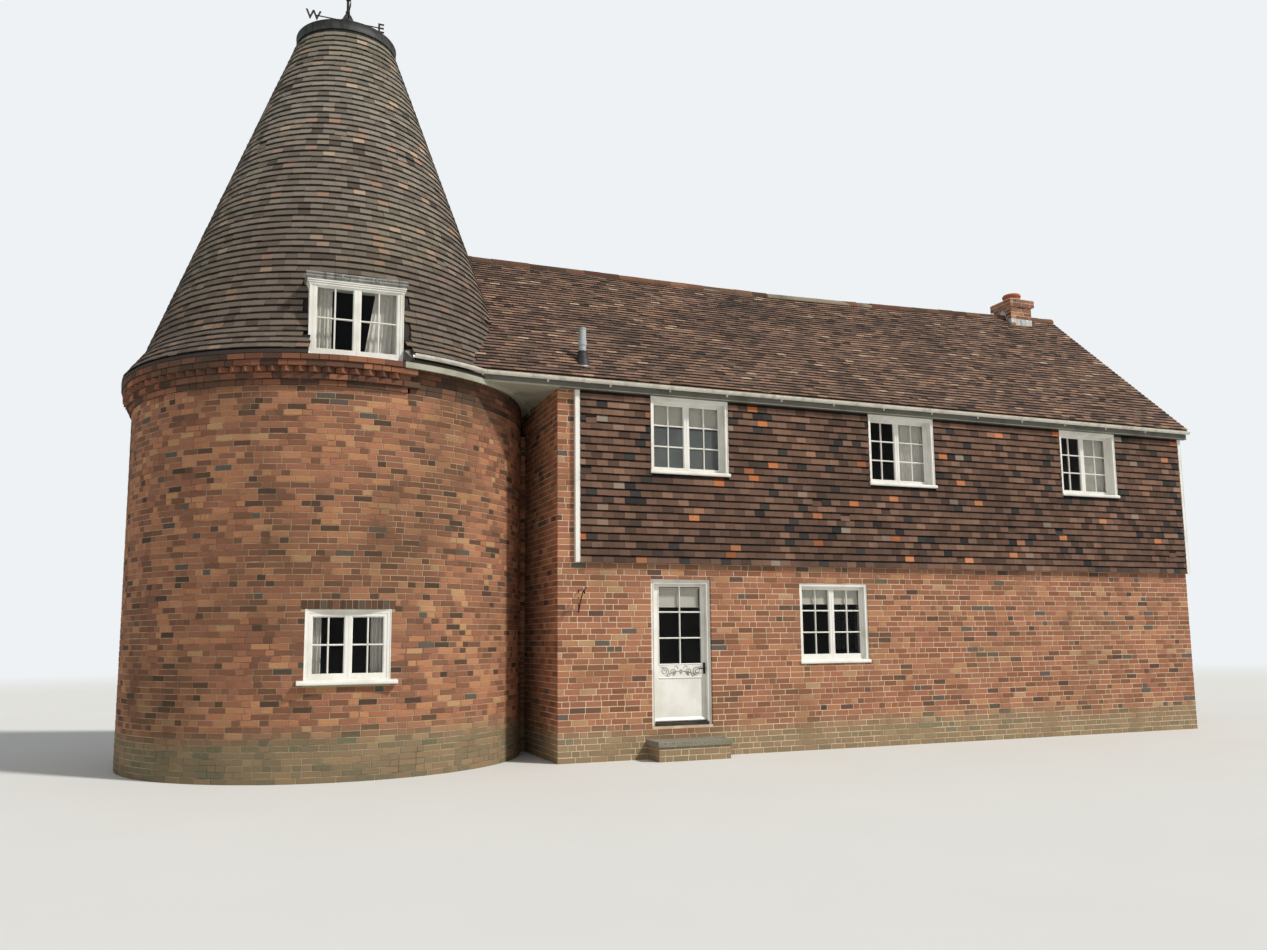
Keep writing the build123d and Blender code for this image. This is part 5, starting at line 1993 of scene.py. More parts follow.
@dataclass(frozen=True)
class Moulding:
    """A moulding's outline, as points across its line and out of it."""

    outline: tuple[tuple[float, float], ...]

    def run(
        self,
        start: Iterable[float],
        end: Iterable[float],
        across: Iterable[float],
        out: Iterable[float],
        mitre: float = 0.0,
    ) -> bpy.types.Object:
        """Extrudes the outline along a line.

        Args:
            start: Where the moulding starts.
            end: Where it ends.
            across: The direction of its width.
            out: The direction in which it stands out.
            mitre: How much shorter each end gets across its width.

        Returns:
            The moulding.
        """
        first, last, side, front = (Vector(v) for v in (start, end, across, out))
        along = (last - first).normalized()
        Bench.clear()
        bpy.ops.mesh.primitive_circle_add(vertices=len(self.outline), fill_type="NGON")
        piece = bpy.context.object
        for vertex, (u, v) in zip(piece.data.vertices, self.outline):
            vertex.co = first + side * u + front * v + along * (mitre * u)
        with Bench.editing():
            bpy.ops.mesh.extrude_region_move(TRANSFORM_OT_translate={"value": last - first})
        for vertex in piece.data.vertices:
            if vertex.select:
                vertex.co -= along * (2 * mitre * (vertex.co - first).dot(side))
        Bench.face_out(piece)
        return piece

    def around(self, box: Box, y: float, side: int) -> list[bpy.types.Object]:
        """Mitres the moulding round an upright rectangle, with its width inside it.

        Args:
            box: The rectangle's X and Z.
            y: The plane that it stands on.
            side: 1 where it stands out towards +Y, and -1 towards -Y.

        Returns:
            Its four lengths.
        """
        corners = [Vector((x, y, z)) for x, z in box.corners]
        lengths = []
        for start, end in zip(corners, corners[1:] + corners[:1]):
            along = (end - start).normalized()
            lengths.append(self.run(start, end, (-along.z, 0, along.x), (0, side, 0), 1.0))
        return lengths

    def grid(self, box: Box, y: float, side: int, columns: int, rows: int) -> list[bpy.types.Object]:
        """Divides an upright rectangle with bars.

        Args:
            box: The rectangle's X and Z.
            y: The plane that the bars stand on.
            side: 1 where they stand out towards +Y, and -1 towards -Y.
            columns: How many panes there are across.
            rows: How many there are one above another.

        Returns:
            The upright bars, then the level ones.
        """
        bars = []
        for n in range(1, columns):
            x = box.x0 + n * (box.x1 - box.x0) / columns
            bars.append(self.run((x, y, box.z0), (x, y, box.z1), (1, 0, 0), (0, side, 0)))
        for n in range(1, rows):
            z = box.z0 + n * (box.z1 - box.z0) / rows
            bars.append(self.run((box.x0, y, z), (box.x1, y, z), (0, 0, 1), (0, side, 0)))
        return bars


GLAZING_BAR = Moulding(
    ((-0.011, 0), (-0.011, 0.004), (-0.005, 0.015), (0.005, 0.015), (0.011, 0.004), (0.011, 0))
)
INNER_BAR = Moulding(
    ((-0.009, 0), (-0.009, 0.009), (-0.006, 0.012), (0.006, 0.012), (0.009, 0.009), (0.009, 0))
)
SASH_RAIL = Moulding(
    (
        (0.0, -0.002), (0.0, 0.003), (0.0015, 0.0045), (0.0365, 0.0045), (0.038, 0.003), (0.0405, -0.002),
        (0.046, -0.006), (0.0505, -0.013), (0.0505, -0.0185), (0.03, -0.0185), (0.03, -0.002),
    )
)
CASING_BEAD = Moulding(((0, 0), (0, 0.005), (0.003, 0.008), (0.011, 0.008), (0.015, 0.003), (0.015, 0)))
LINING_BEAD = Moulding(((0, 0), (0, 0.014), (0.004, 0.017), (0.009, 0.013), (0.009, 0.003), (0.006, 0)))
STOP_BEAD = Moulding(((0, 0), (0, 0.02), (0.008, 0.02), (0.014, 0.012), (0.014, 0)))
DOOR_MOULD = Moulding(
    (
        (0, 0), (0, 0.003), (0.004, 0.007), (0.01, 0.007),
        (0.015, 0.002), (0.018, -0.006), (0.019, -0.018), (0, -0.018),
    )
)
WEATHER_BAR = Moulding(((0, -0.004), (0, 0.024), (0.01, 0.026), (0.04, 0.006), (0.05, -0.004)))
RAIL_BEAD = Moulding(((-0.007, 0), (-0.006, 0.005), (0, 0.008), (0.006, 0.005), (0.007, 0)))
HALF_BOARD = Moulding(
    (
        (0, 0), (0, 0.004), (0.006, 0.009), (0.012, 0.005),
        (0.06, 0.005), (0.066, 0.009), (0.072, 0.004), (0.072, 0),
    )
)


def sill_mould(reach: float) -> Moulding:
    """A sill's outline with a rounded nose and a groove under it."""
    back = -0.01
    underside = ((-0.02, -0.004), (-0.018, 0.003), (-0.008, 0.003), (-0.006, -0.004), (0.002, -0.004))
    nose = ((0.008, 0.006), (0.008, 0.03), (0.002, 0.038))
    edge = tuple((up, reach + out) for out, up in underside + nose)
    return Moulding(((-0.004, back), *edge, (0.052, -0.002), (0.052, back)))


@dataclass(frozen=True)
class WindowPlan:
    """One window: its opening, its panes, and how they are divided."""

    name: str
    opening: Box
    panes: tuple[Box, ...]
    columns: int
    rows: int
    side: int
    sill_reach: float
    sill_ends: float = 0.014
    foot_rail: float = 0.042

    @property
    def face(self) -> float:
        """The Y of the casing's outer face."""
        return self.opening.y0 if self.side < 0 else self.opening.y1


def openings_of(node: str, glass: str) -> list[tuple[Box, tuple[Box, ...]]]:
    """The openings and panes of a node of windows, read at their heads, where no sill widens them.

    Args:
        node: The frames' node.
        glass: The panes' node.

    Returns:
        The opening and the panes of each window, from left to right.
    """
    found = []
    points = points_of(node)
    panes = solids_of(glass)
    near = 0.001
    for box in solids_of(node):
        inside = (points[:, 0] > box.x0 - near) & (points[:, 0] < box.x1 + near)
        head = points[inside & (np.abs(points[:, 2] - box.z1) < near)]
        low, high = head.min(axis=0), head.max(axis=0)
        opening = Box(low[0], low[1], box.z0, high[0], high[1], box.z1)
        own = [p for p in panes if low[0] < p.centre.x < high[0] and box.z0 < p.centre.z < box.z1]
        found.append((opening, tuple(own)))
    return found


@dataclass
class Joinery:
    """The sashes, glazing bars, sills and mouldings of every window, and the corner boards."""

    casing: float = 0.045
    sash_face: float = 0.042
    sash_cover: float = 0.0195
    sash_gap: float = 0.002
    lining_beads: tuple[float, ...] = (0.024, 0.062)
    bead_room: float = 0.03
    rail_chamfer: float = 0.002
    rail_proud: float = 0.004
    rail_lap: float = 0.006
    ground_rail: float = 0.05
    upper_rail: float = 0.028
    sill_reach: float = 0.035

    def build(self) -> None:
        """Builds the joinery of every window."""
        front = openings_of("front_window_frames", "front_window_glass")
        for name, found in zip(("left_upper", "ground", "middle_upper", "right_upper"), front):
            rail = self.ground_rail if name == "ground" else self.upper_rail
            self.window(WindowPlan(f"{name}_window", *found, 2, 3, -1, self.sill_reach, foot_rail=rail))
        for number, found in enumerate(openings_of("back_window_frames", "back_window_glass")):
            self.window(WindowPlan(f"back_window_{number + 1}", *found, 2, 3, 1, self.sill_reach))
        (kiln,) = openings_of("kiln_window_frame", "kiln_window_glass")
        self.window(WindowPlan("kiln_window", *kiln, 2, 2, -1, 0.11, sill_ends=0.08))
        (dormer,) = openings_of("dormer_window_frame", "kiln_window_glass")
        self.window(WindowPlan("dormer_window", *dormer, 2, 2, -1, 0.03))
        self.corner_boards()

    def window(self, plan: WindowPlan) -> None:
        """Dresses one window."""
        box = plan.opening
        inner = box.grown(-self.casing, 0, -self.casing)
        parts = CASING_BEAD.around(box, plan.face, plan.side)
        glass_y = plan.panes[0].y0 if plan.side < 0 else plan.panes[0].y1
        sash_y = glass_y + plan.side * self.sash_cover
        recess = abs(sash_y - plan.face)
        for depth in self.lining_beads:
            if depth + self.bead_room < recess:
                parts += LINING_BEAD.around(inner, plan.face - plan.side * depth, plan.side)
        if recess > self.bead_room:
            parts += STOP_BEAD.around(inner, sash_y, plan.side)
        for pane in plan.panes:
            parts += self.leaf(plan, pane, glass_y, sash_y)
        ends = [(x, plan.face, box.z0) for x in (box.x0 - plan.sill_ends, box.x1 + plan.sill_ends)]
        parts.append(sill_mould(plan.sill_reach).run(*ends, (0, 0, 1), (0, plan.side, 0)))
        settle(Bench.join(parts, f"{plan.name}_joinery"), WHITE_PAINT)

    def leaf(self, plan: WindowPlan, pane: Box, glass_y: float, sash_y: float) -> list[bpy.types.Object]:
        """One casement: its mitred sash, its bars on both sides of the glass, and its foot rail.

        Args:
            plan: The window.
            pane: The casement's glass.
            glass_y: The Y of the glass's outer face.
            sash_y: The Y of the sash's outer face.

        Returns:
            The casement's parts.
        """
        rim = self.sash_face - self.sash_gap
        parts = SASH_RAIL.around(pane.grown(rim, 0, rim), sash_y, plan.side)
        foot = pane.z0 + plan.foot_rail
        y0, y1 = sorted((glass_y, sash_y + plan.side * self.rail_proud))
        lap = self.rail_lap
        rail = Box(pane.x0 - lap, y0, pane.z0 - lap, pane.x1 + lap, y1, foot)
        parts.append(Bench.block("foot_rail", rail, self.rail_chamfer))
        back_y = pane.y1 if plan.side < 0 else pane.y0
        light = Box(pane.x0, 0, foot, pane.x1, 0, pane.z1)
        for moulding, y, out in ((GLAZING_BAR, glass_y, plan.side), (INNER_BAR, back_y, -plan.side)):
            parts += moulding.grid(light, y, out, plan.columns, plan.rows)
        return parts

    def corner_boards(self) -> None:
        """The beads and face of the white boards at the corners of the tile hanging."""
        parts = []
        for box in solids_of("corner_boards"):
            y, side = (box.y0, -1) if box.y0 < 0 else (box.y1, 1)
            ends = (box.x0, y, box.z0), (box.x0, y, box.z1)
            parts.append(HALF_BOARD.run(*ends, (1, 0, 0), (0, side, 0)))
        settle(Bench.join(parts, "corner_board_faces"), WHITE_PAINT)


@dataclass
class FrontDoor:
    """The door's glazing, its ornament, its handle and the mouldings of its frame."""

    columns: int = 2
    rows: int = 3
    glass_right: float = 0.045
    glass_down: float = 0.105
    glass_up: float = 0.062
    lock_rail: float = 0.2
    panel_depth: float = 0.004
    frame_width: float = 0.06
    pane_lap: float = 0.004
    bead_lap: float = 0.01
    plate: tuple[float, float] = (0.032, 0.16)
    handle_drop: float = 0.21
    lever: float = 0.095
    lever_reach: float = 0.05

    def __post_init__(self) -> None:
        """Reads the door from the frame."""
        self.leaf = Box.of("door_leaf")
        pane = Box.of("door_glass")
        low, high = pane.z0 - self.glass_down, pane.z1 + self.glass_up
        self.glass = Box(pane.x0, pane.y0, low, pane.x1 + self.glass_right, pane.y1, high)
        self.frame = Box.of("door_frame")
        self.handle = Box.of("door_handle")

    def build(self) -> None:
        """Builds the door's pieces."""
        self.surround()
        self.leaf_boards()
        self.leaf_mouldings()
        self.ornament()
        self.lever_handle()

    def surround(self) -> None:
        """The mouldings of the fixed frame."""
        box = self.frame
        rim = self.frame_width
        opening = Box(box.x0 + rim, 0, box.z0, box.x1 - rim, 0, box.z1 - rim)
        parts = []
        for start, end, across in (
            ((opening.x0, opening.z0), (opening.x0, opening.z1), (-1, 0, 0)),
            ((opening.x1, opening.z0), (opening.x1, opening.z1), (1, 0, 0)),
            ((box.x0, box.z0), (box.x0, box.z1), (1, 0, 0)),
            ((box.x1, box.z0), (box.x1, box.z1), (-1, 0, 0)),
            ((opening.x0 - 0.015, opening.z1), (opening.x1 + 0.015, opening.z1), (0, 0, 1)),
        ):
            ends = [(x, box.y0, z) for x, z in (start, end)]
            parts.append(CASING_BEAD.run(*ends, across, (0, -1, 0)))
        settle(Bench.join(parts, "door_frame_mouldings"), WHITE_PAINT)

    def leaf_boards(self) -> None:
        """The leaf's stiles, rails and flush panel, and its glass."""
        box, glass = self.leaf, self.glass
        foot = glass.z0 - self.lock_rail
        sink = self.panel_depth
        boards = (
            Box(box.x0, box.y0, box.z0, glass.x0, box.y1, box.z1),
            Box(glass.x1, box.y0, box.z0, box.x1, box.y1, box.z1),
            Box(glass.x0, box.y0, glass.z1, glass.x1, box.y1, box.z1),
            Box(glass.x0, box.y0, foot, glass.x1, box.y1, glass.z0),
            Box(glass.x0, box.y0 + sink, box.z0, glass.x1, box.y1 - sink, foot),
        )
        parts = [Bench.block("board", board, 0.0012) for board in boards]
        settle(Bench.join(parts, "door_boards"), WHITE_PAINT, Body.DOOR, ("door_leaf",))
        pane = Bench.block("door_pane", glass.grown(self.pane_lap, 0, self.pane_lap))
        with Bench.faces(pane, lambda face: abs(face.normal.y) > 0.9):
            bpy.ops.mesh.subdivide(number_cuts=3)
        settle(pane, PANE, Body.DOOR, ("door_glass",))

    def leaf_mouldings(self) -> None:
        """The bars, the moulding round the glass, the beads of the lock rail and the weather bar."""
        box, glass = self.leaf, self.glass
        parts = []
        for side, face, glass_y in ((-1, box.y0, glass.y0), (1, box.y1, glass.y1)):
            parts += DOOR_MOULD.around(glass.grown(self.bead_lap, 0, self.bead_lap), face, side)
            parts += GLAZING_BAR.grid(glass, glass_y, side, self.columns, self.rows)
            level = glass.z0 - self.lock_rail + 0.008
            ends = (glass.x0, face, level), (glass.x1, face, level)
            parts.append(RAIL_BEAD.run(*ends, (0, 0, 1), (0, side, 0)))
        foot = ((box.x0 + 0.006, box.y0, box.z0 + 0.012), (box.x1 - 0.006, box.y0, box.z0 + 0.012))
        parts.append(WEATHER_BAR.run(*foot, (0, 0, 1), (0, -1, 0)))
        settle(Bench.join(parts, "door_mouldings"), WHITE_PAINT, Body.DOOR)

    def ornament(self) -> None:
        """A low scroll along the lock rail: spirals with leaves each side of a bud."""
        level = self.glass.z0 - self.lock_rail / 2 - 0.002
        y = self.leaf.y0 - 0.001
        middle = self.glass.centre.x
        parts = []

        def stroke(name: str, radius: float, line: Iterable[tuple[float, float]]) -> None:
            """Draws a rod through points given by their distance from the middle and their height."""
            path = [(middle + across, y, level + up) for across, up in line]
            parts.append(Bench.rod(name, path, radius))

        eighths = [n / 8 for n in range(9)]
        for side in (-1, 1):
            for reach, size, turns, lift in ((0.25, 0.066, 1.7, 0.006), (0.125, 0.052, 1.5, -0.004)):
                line = [
                    (side * (0.03 + (reach - 0.03) * n), 0.004 * (1 - n) - size * n**2) for n in eighths[:-1]
                ]
                for share in np.linspace(0, 1, 29):
                    angle = math.tau * turns * share
                    radius = size * (1 - 0.82 * share)
                    line.append((side * (reach - radius * math.sin(angle)), lift - radius * math.cos(angle)))
                stroke("scroll", 0.0058, line)
            for reach, rise in ((0.07, 0.078), (0.19, -0.07), (0.29, 0.07)):
                line = [
                    (side * (reach - 0.03 + 0.06 * n), rise * math.sin(math.pi * (0.15 + 0.6 * n)))
                    for n in eighths
                ]
                stroke("leaf", 0.005, line)
            line = [(side * 0.02 * math.sin(math.pi * n), 0.064 * n - 0.035) for n in eighths]
            stroke("petal", 0.0055, line)
        stroke("bud", 0.005, ((0, -0.02), (0, 0.03)))
        settle(Bench.join(parts, "lock_rail_scroll"), SCROLL_PAINT, Body.DOOR)

    def lever_handle(self) -> None:
        """Lever handles on both faces, on plates with a keyhole."""
        x = (self.glass.x1 + self.leaf.x1) / 2
        z = self.handle.centre.z - self.handle_drop
        width, height = self.plate
        parts = []
        for side, face in ((-1, self.leaf.y0), (1, self.leaf.y1)):

            def stroke(
                name: str, radius: float, line: Iterable[tuple[float, float, float]], roundness: int = 4
            ) -> None:
                """Draws a rod through points given from the plate's middle: along, out and up."""
                path = [(x + along, face + side * out, z + up) for along, out, up in line]
                parts.append(Bench.rod(name, path, radius, roundness))

            y0, y1 = sorted((face, face + side * 0.008))
            plate = Box(x - width / 2, y0, z - height / 2, x + width / 2, y1, z + height / 2)
            parts.append(Bench.block("plate", plate, 0.003, 3))
            stroke("boss", 0.014, ((0, 0, 0), (0, 0.02, 0)))
            reach, length = self.lever_reach, self.lever
            line = [(0, 0.008, 0), (0, reach - 0.014, 0), (-0.006, reach - 0.004, 0)]
            line += [(-0.02 - 0.02 * n, reach, -0.004 * math.sin(n)) for n in range(5)]
            line += [(0.012 - length, reach - 0.004, -0.004), (-length, reach - 0.012, -0.006)]
            stroke("lever", 0.008, line)
            stroke("escutcheon", 0.011, ((0, 0.007, -0.045), (0, 0.011, -0.045)))
            for offset in (-0.068, 0.068):
                stroke("screw", 0.0045, ((0, 0.007, offset), (0, 0.0105, offset)), 2)
        settle(Bench.join(parts, "lever_handles"), BLACK_IRON, Body.DOOR, ("door_handle",))


@dataclass
class Dormer:
    """The dormer's stepped head mouldings, and the lead on its roof and at its feet."""

    steps: tuple[tuple[float, float], ...] = ((0.022, 0.03), (0.046, 0.02), (0.072, 0.009))
    roll: float = 0.017
    hood_depth: float = 0.1
    laps: tuple[float, ...] = (0.34, 0.68)
    soaker_reach: tuple[float, float] = (0.16, 0.2)
    soaker_rise: float = 0.34

    def build(self) -> None:
        """Builds the dormer's pieces."""
        window = Box.of("dormer_window_frame")
        roof = Box.of("dormer_roof")
        parts = []
        above = roof.z0
        for drop, reach in self.steps:
            foot = roof.z0 - drop
            back = window.y1 + self.hood_depth
            step = Box(window.x0 - reach, window.y0 - reach, foot, window.x1 + reach, back, above - 0.001)
            parts.append(Bench.block("step", step, 0.004, 2))
            above = foot
        settle(Bench.join(parts, "dormer_head_mouldings"), WHITE_PAINT)
        x0, y0, x1, y1 = roof.x0, roof.y0, roof.x1, roof.y1 + 0.02
        top, half = roof.z1, roof.z0 + 0.03
        lines = [[(x0, y1, z), (x0, y0, z), (x1, y0, z), (x1, y1 - 0.2, z)] for z in (top, half)]
        for share in self.laps:
            x = x0 + share * roof.size.x
            over = top + 0.008
            lines.append([(x, y0 - 0.004, half), (x, y0 - 0.006, top), (x, y0 + 0.02, over), (x, y1, over)])
        rolls = [Bench.rod("roll", line, self.roll, 3) for line in lines]
        settle(Bench.join([*rolls, *self.soakers(window)], "dormer_lead_rolls"), LEAD)

    def soakers(self, box: Box) -> list[bpy.types.Object]:
        """The lead soakers that lap from the dormer's feet onto the tiles."""
        sheets = []
        ahead, behind = self.soaker_reach
        y0, y1, z = box.y0 - ahead, box.y0 + behind, box.z0 + 0.03
        for x0, x1 in ((box.x0 - 0.13, box.x0 + 0.01), (box.x1 - 0.01, box.x1 + 0.12)):
            sheet = Bench.block("soaker", Box(x0, y0, z, x1, y1, z + 0.006), 0.002)
            for vertex in sheet.data.vertices:
                share = (vertex.co.y - y0) / (ahead + behind)
                vertex.co.z += self.soaker_rise * max(0.0, share) ** 1.2
            sheets.append(sheet)
        return sheets


@dataclass
class KilnCap:
    """The dark lead band at the top of the cone, the pale collar on it, and the compass letters."""

    laps: int = 5
    lap_width: float = 0.03
    sheet: float = 0.006
    roll: float = 0.012
    collar: float = 0.25
    letter_height: float = 0.155
    letter_offset: float = 0.035
    letter_depth: float = 0.004
    type_size: float = 1.4

    def build(self) -> None:
        """Builds the cap's pieces."""
        points = points_of("kiln_cap")
        self.radii = kiln_radii(points)
        self.levels = points[:, 2]
        self.radius = float(self.radii.max())
        self.head = float(self.levels[self.radii > self.radius - 0.003].max())
        self.band()
        self.apron()
        self.letters()

    def band(self) -> None:
        """The band round the cap, with rolled edges, upright laps and a mortar fillet under it."""
        foot, head, radius = float(self.levels.min()), self.head, self.radius
        face, edge = radius + self.sheet, radius + self.roll
        outline = (
            (radius - 0.012, foot - 0.004),
            (edge - 0.003, foot - 0.004),
            (edge, foot + 0.004),
            (edge - 0.002, foot + 0.014),
            (face, foot + 0.02),
            (face, head - 0.014),
            (edge - 0.002, head - 0.008),
            (edge - 0.001, head + 0.002),
            (face - 0.004, head + 0.007),
            (radius - 0.03, head + 0.016),
        )
        rng = np.random.default_rng(SEED + 2)
        pitch = math.tau / self.laps
        size = (self.lap_width, head - foot - 0.004, self.sheet + 0.005)
        rows = [
            ((n + rng.uniform(0.3, 0.7)) * pitch, (foot + head) / 2, 0.0, *size, 0.0, 0.0, 0.0)
            for n in range(self.laps)
        ]
        lap = Bench.block("lap", Box(-0.015, -0.05, 0.0, 0.015, 0.05, 0.01), 0.003, 2)
        laps = Pattern(lap).lay("laps", Cells.of(rows, radius), RoundWall(KILN_X, KILN_Y, radius))
        settle(Bench.join([Bench.turned("band", outline, steps=72), laps], "kiln_cap_band"), CURB_LEAD)
        inner = float(self.radii[self.levels < foot + 0.001].min())
        fillet = ((-0.02, -0.016), (0.004, -0.012), (0.008, 0), (-0.02, 0))
        settle(Bench.turned("kiln_cap_mortar", fillet, steps=72, base=(inner, foot)), RIDGE_MORTAR)

    def apron(self) -> None:
        """The pale lead collar on the cap's slope, round the foot of the mast."""
        top = float(self.levels.max())
        inner = float(self.radii[self.levels > top - 0.001].max())
        fall = (top - self.head) / (self.radius - inner)
        rim = self.collar
        points = (
            (inner, -0.004), (rim, -0.002), (rim + 0.002, 0.008), (rim - 0.01, 0.014),
            (inner + 0.06, 0.012), (inner + 0.035, 0.03), (inner + 0.03, 0.045), (inner, 0.045),
        )
        outline = tuple((reach, top - (reach - inner) * fall + above) for reach, above in points)
        settle(Bench.turned("cap_lead_collar", outline), FLASHING_LEAD)

    def letters(self) -> None:
        """A letter at the end of each arm of the compass."""
        mast = Box.of("vane_mast")
        mast_points = points_of("vane_mast")
        level = float(mast_points[mast_points[:, 0] > mast.x1 - 0.001][:, 2].mean())
        reach = mast.x1 - KILN_X + self.letter_offset
        pieces = []
        for letter, way, turn in (("E", (1, 0), 0), ("W", (-1, 0), 0), ("N", (0, 1), 90), ("S", (0, -1), 90)):
            Bench.clear()
            bpy.ops.object.text_add()
            text = bpy.context.object
            text.data.body = letter
            text.data.size = self.letter_height * self.type_size
            text.data.extrude = text.data.offset = self.letter_depth
            text.data.align_x = "CENTER"
            bpy.ops.object.convert(target="MESH")
            text = bpy.context.object
            lowest = min(v.co.y for v in text.data.vertices)
            spot = Vector((KILN_X + way[0] * reach, KILN_Y + way[1] * reach, level))
            stand = Matrix.Rotation(math.radians(turn), 4, "Z") @ Matrix.Rotation(math.pi / 2, 4, "X")
            centre = Matrix.Translation((0, -lowest - self.letter_height / 2, 0))
            text.data.transform(Matrix.Translation(spot) @ stand @ centre)
            pieces.append(text)
        hub = Vector((KILN_X, KILN_Y, level))
        for x, y in ((1, 0), (-1, 0), (0, 1), (0, -1)):
            end = Vector((KILN_X + x * (reach - 0.05), KILN_Y + y * (reach - 0.05), level))
            pieces.append(Bench.rod("arm_end", [hub + (end - hub) * 0.85, end], 0.007))
        thickness = kiln_radii(mast_points)
        levels = mast_points[:, 2]
        hub_top = float(levels[(thickness < 0.028) & (levels < mast.centre.z)].max())
        shoulder = float(levels[(levels > hub_top + 0.01) & (levels < mast.z1 - 0.01)].max())
        ring = ((0.01, 0), (0.03, 0.005), (0.035, 0.016), (0.03, 0.027), (0.01, 0.032))
        for name, foot in (("mast_ring", shoulder - 0.03), ("hub_ring", hub_top - 0.004)):
            pieces.append(Bench.turned(name, ring, base=(0, foot)))
        settle(Bench.join(pieces, "compass_letters"), VANE_IRON)


@dataclass
class Vane:
    """The turning pointer's small parts."""

    ball: float = 0.022

    def build(self) -> None:
        """A ball and rings on the sleeve."""
        box = Box.of("vane_pointer")
        size = self.ball
        turns = np.linspace(0, math.pi, 9)
        outline = tuple((0.001 + size * math.sin(a), box.z1 - size + size * math.cos(a)) for a in turns)
        parts = [Bench.turned("ball", outline)]
        for radius, level in ((0.019, box.z0 + 0.02), (0.017, box.centre.z)):
            ring = ((0.012, -0.012), (radius, -0.006), (radius, 0.006), (0.012, 0.012))
            parts.append(Bench.turned("ring", ring, base=(0, level)))
        settle(Bench.join(parts, "pointer_rings"), VANE_IRON, Body.VANE)


@dataclass
class Eaves:
    """The half-round gutters with their brackets and joints, and the bead of the eaves boards."""

    spacing: float = 0.92
    bracket_width: float = 0.026
    joint_width: float = 0.085
    radius: float = 0.046
    wall: float = 0.0035
    rim: float = 0.0045
    band: float = 0.0035
    bracket_start: float = 0.25
    joint_start: float = 1.7
    joint_spacing: float = 3.0
    stop_width: float = 0.012
    strap_length: float = 0.07
    swept_radius: float = 2.93
    swept_start: float = 0.245

    def half_ring(self, inner: float, outer: float) -> Moulding:
        """The outline of a half ring that opens upwards."""
        turns = [math.pi + math.pi * n / 12 for n in range(13)]
        outside = [(outer * math.cos(a), outer * math.sin(a)) for a in turns]
        inside = [(inner * math.cos(a), inner * math.sin(a)) for a in reversed(turns)]
        return Moulding(tuple(outside + inside))

    def build(self) -> None:
        """Builds both gutters, the swept one beside the kiln, and the bead."""
        trough = self.half_ring(self.radius - self.wall, self.radius)
        bracket = self.half_ring(self.radius - 0.001, self.radius + self.band)
        stop = self.half_ring(0.001, self.radius - 0.001)
        reach = self.radius + self.band
        parts = []
        for box in solids_of("gutters"):
            y, top = box.centre.y, box.z1
            side = 1 if box.y0 < 0 else -1

            def piece(shape: Moulding, start: float, end: float) -> bpy.types.Object:
                """One moulded length along the gutter."""
                return shape.run((start, y, top), (end, y, top), (0, 1, 0), (0, 0, 1))

            parts.append(piece(trough, box.x0, box.x1))
            for edge in (-1, 1):
                at = y + edge * (self.radius - self.wall / 2)
                ends = [(x, at, top - self.rim) for x in (box.x0, box.x1)]
                parts.append(Bench.rod("rim", ends, self.rim))
            for x in np.arange(box.x0 + self.bracket_start, box.x1 - 0.1, self.spacing):
                parts.append(piece(bracket, x, x + self.bracket_width))
                near, far = sorted((y + side * (reach - 0.004), y + side * (reach + 0.004)))
                strap = Box(x, near, top - self.strap_length, x + self.bracket_width, far, top)
                parts.append(Bench.block("strap", strap, 0.001))
            for x in np.arange(box.x0 + self.joint_start, box.x1 - 0.5, self.joint_spacing):
                parts.append(piece(bracket, x, x + self.joint_width))
            for x in (box.x0, box.x1 - self.stop_width):
                parts += [piece(stop, x + 0.003, x + 0.009), piece(bracket, x, x + self.stop_width)]
        settle(Bench.join([*parts, self.swept()], "eaves_gutters"), GUTTER, stands_for=("gutters",))
        boards = Box.of("eaves_boards")
        beads = []
        for board in solids_of("eaves_boards"):
            y, side = (board.y0, -1) if board.y0 < 0 else (board.y1, 1)
            ends = (board.x0 + 0.1, y, boards.z0 + 0.012), (boards.x1, y, boards.z0 + 0.012)
            beads.append(RAIL_BEAD.run(*ends, (0, 0, 1), (0, side, 0)))
        settle(Bench.join(beads, "eaves_bead"), CREAM_PAINT)

    def swept(self) -> bpy.types.Object:
        """The gutter that curves round the kiln to the stowage's eaves."""
        box = min(solids_of("gutters"), key=lambda solid: solid.y0)
        end = math.acos((KILN_Y - box.centre.y) / self.swept_radius)
        shape = self.half_ring(self.radius - self.wall, self.radius).outline
        arc, base = (self.swept_start, end), (self.swept_radius, box.z1)
        trough = Bench.turned("swept_gutter", shape, steps=14, arc=arc, base=base)
        rims = []
        level = box.z1 - self.rim
        turns = np.linspace(*arc, 15)
        for edge in (-1, 1):
            reach = self.swept_radius + edge * (self.radius - self.wall / 2)
            path = [(KILN_X + reach * math.sin(a), KILN_Y - reach * math.cos(a), level) for a in turns]
            rims.append(Bench.rod("rim", path, self.rim))
        return Bench.join([trough, *rims], "swept_gutter")


